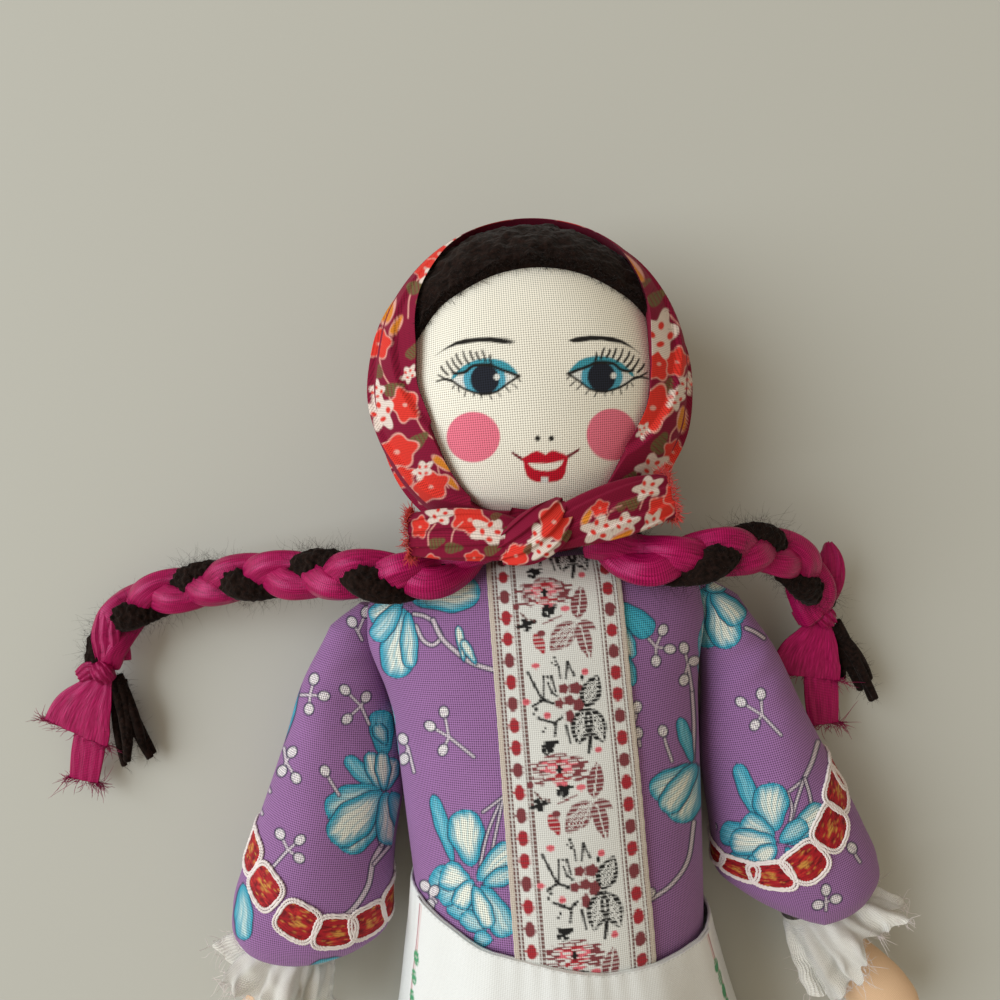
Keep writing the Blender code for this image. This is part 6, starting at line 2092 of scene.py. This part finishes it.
for side_name in ("left", "right"):
    state = np.random.default_rng(90 + len(side_name))
    turn = np.linspace(0.0, math.tau, FRILL_COLUMNS, endpoint=False)[None, :]
    fall = np.linspace(0.0, 1.0, FRILL_ROWS)[:, None]
    from_width, from_thick = FRILL_NECK
    flare = np.clip((fall - 0.10) / 0.90, 0.0, 1.0) ** 0.6
    edge = 1.0 + 0.16 * np.sin(3.0 * turn + 1.0) + 0.10 * np.sin(7.0 * turn + 2.0)
    outer = np.cos(turn) * (1.0 if side_name == "left" else -1.0)
    folds = np.sin(9.0 * turn + 1.4 * np.sin(2.0 * turn) + fall * 0.8)
    folds = folds + 0.6 * np.sin(17.0 * turn + 3.0 * fall)
    swell = folds * flare * FRILL_FOLD
    half_width = from_width + (FRILL_HALF_WIDTH * (1.0 + 0.20 * outer) - from_width) * flare + swell
    half_thick = from_thick + (FRILL_HALF_THICK - from_thick) * flare + swell
    down = ARM_LENGTH * FRILL_FROM_SHARE + FRILL_LENGTH * edge * (1.0 - 0.20 * outer) * fall
    rows = wrist_place(side_name, half_width * np.cos(turn), -down, half_thick * np.sin(turn))
    crumple = lumpy(rows.reshape(-1, 3), 1.2 * MM, 6.0 * MM, 91).reshape(rows.shape[:2])
    rows[..., 2] += crumple * fall
    rows[..., 0] += lumpy(rows.reshape(-1, 3), 0.9 * MM, 8.0 * MM, 92).reshape(rows.shape[:2]) * fall
    rows[..., 2] = np.maximum(rows[..., 2], 0.5 * MM)
    frill_mesh = outward(woven_mesh(f"frill_{side_name}", rows, True, False, False))
    keep_thread(frill_mesh, np.stack(np.broadcast_arrays(turn * 24.0, fall * 30.0), axis=2).reshape(-1, 2))
    body = f"arm_{side_name}"
    frill = add_piece(f"frill_{side_name}", frill_mesh, gauze, body, "gauze", f"cuff_frill_{side_name}")
    chosen = state.integers(0, FRILL_COLUMNS, FRILL_THREADS)
    roots = rows[-1, chosen]
    ways = roots - rows[-8, chosen]
    ways /= np.linalg.norm(ways, axis=1, keepdims=True)
    threads = stray_fibres(roots, ways, FRILL_THREAD_LENGTH, 0.9, 93, 12)
    threads[:, :, 2] = np.maximum(threads[:, :, 2], 0.3 * MM)
    loose_mesh = thin_tubes(f"frill_threads_{side_name}", threads, np.full(len(threads), FRILL_THREAD_RADIUS))
    add_piece(f"frill_threads_{side_name}", loose_mesh, cord_white, body, "gauze")

    hand_stations = np.linspace(0.0, 1.0, HAND_ROWS)
    hand_turn = np.linspace(0.0, math.tau, HAND_SIDES, endpoint=False)
    wide, thick = smooth_shares(HAND_SHARES, hand_stations).T
    hand_reach = HAND_LENGTH + ARM_LENGTH + HAND_FROM
    hand_rows = wrist_place(
        side_name,
        (wide * HAND_HALF_WIDTH)[:, None] * np.cos(hand_turn)[None, :],
        np.repeat((HAND_FROM - hand_reach * hand_stations)[:, None], HAND_SIDES, axis=1),
        (thick * HAND_HALF_THICK * 0.95)[:, None] * np.sin(hand_turn)[None, :],
    )
    hand_mesh = outward(woven_mesh(f"hand_{side_name}", hand_rows, True))
    hand_thread = np.stack(np.meshgrid(hand_turn * 8.0, hand_stations * 36.0), axis=2)
    keep_thread(hand_mesh, hand_thread.reshape(-1, 2))
    hand = add_piece(f"hand_{side_name}", hand_mesh, peach_cotton, body, "peach_cotton", f"hand_{side_name}")


# Legs: straight cream linen legs sewn to the hip seam, stuffed hard, each in a plain felt boot.
LEG_OFFSET = 22.5 * MM
LEG_LENGTH = 158.0 * MM
LEG_HALF_WIDTH = 16.2 * MM
HIP_RADIUS = 14.2 * MM
FOOT_RISE = 10.2 * MM
BOOT_LENGTH = 43.0 * MM
BOOT_GROW = 1.6 * MM
LEG_ROWS = 150
LEG_SIDES = 90
BOOT_ROWS = 80
LEG_SHARES = np.array((
    (0.000, 0.45, -0.760, 0.000),
    (0.032, 0.78, -0.240, 0.000),
    (0.090, 0.97, 0.000, 0.000),
    (0.200, 1.00, 0.020, 0.000),
    (0.400, 0.95, 0.000, 0.000),
    (0.600, 0.82, -0.110, 0.000),
    (0.760, 0.70, -0.200, 0.000),
    (0.840, 0.68, -0.200, 0.250),
    (0.900, 0.70, -0.200, 0.800),
    (0.945, 0.68, -0.200, 1.100),
    (0.980, 0.55, -0.300, 0.900),
    (1.000, 0.30, -0.450, 0.500),
))


def leg_rows(sign, first, grow, count, sides=LEG_SIDES):
    """Rows round one leg from a share of its length down, raised by grow for the boot over it."""
    stations = first + (1.0 - first) * close_stations(np.array(((0.0,), (1.0,))), count)
    width, swell, foot = smooth_shares(LEG_SHARES, stations).T
    half_width = width * LEG_HALF_WIDTH + grow
    half_thick = HIP_RADIUS * (1.0 + swell) + grow
    top = half_thick + FOOT_RISE * np.maximum(foot, 0.0)
    turn = np.linspace(0.0, math.tau, sides, endpoint=False)
    x = sign * LEG_OFFSET + half_width[:, None] * np.cos(turn)
    under = np.minimum(half_thick, HIP_LEVEL)
    z = HIP_LEVEL + np.where(np.sin(turn) > 0, top[:, None], under[:, None]) * np.sin(turn)
    y = np.repeat((HIP + HIP_RADIUS - LEG_LENGTH * stations - grow)[:, None], sides, axis=1)
    thread = np.stack(np.meshgrid(turn * 15.0, stations * LEG_LENGTH / MM), axis=2)
    return np.stack((x, y, np.maximum(z, 0.3 * MM)), axis=2), thread.reshape(-1, 2)


leg_linen = weave_material("leg_linen", 0.60, 0.12 * MM, 0.9, 0.3, 0.07, 0.1, dye(232, 228, 210))
felt, felt_shader, felt_wire = finish_material("brown_felt", 0.95, 0.1, 0.3)
felt_tangle = tangle_of(felt_wire, 700.0)
felt_tangle.toned(((0.3, dye(74, 48, 36)), (0.7, dye(112, 78, 60)))).feed(felt_shader, "Base Color")
felt_tangle.bumped(0.3 * MM).feed(felt_shader, "Normal")
for side_name, sign in (("left", 1.0), ("right", -1.0)):
    rows, thread = leg_rows(sign, 0.0, 0.0, LEG_ROWS)
    leg_mesh = outward(woven_mesh(f"leg_{side_name}", rows, True))
    keep_thread(leg_mesh, thread)
    body = f"leg_{side_name}"
    leg_nodes = f"leg_cover_{side_name}", f"leg_stuffing_{side_name}"
    leg = add_piece(f"leg_{side_name}", leg_mesh, leg_linen, body, "cream_linen", *leg_nodes)
    rows, thread = leg_rows(sign, 1.0 - BOOT_LENGTH / LEG_LENGTH, BOOT_GROW, BOOT_ROWS)
    boot_mesh = outward(woven_mesh(f"boot_{side_name}", rows, True, False, True))
    keep_thread(boot_mesh, thread)
    boot = add_piece(f"boot_{side_name}", boot_mesh, felt, body, "brown_felt", f"boot_{side_name}")
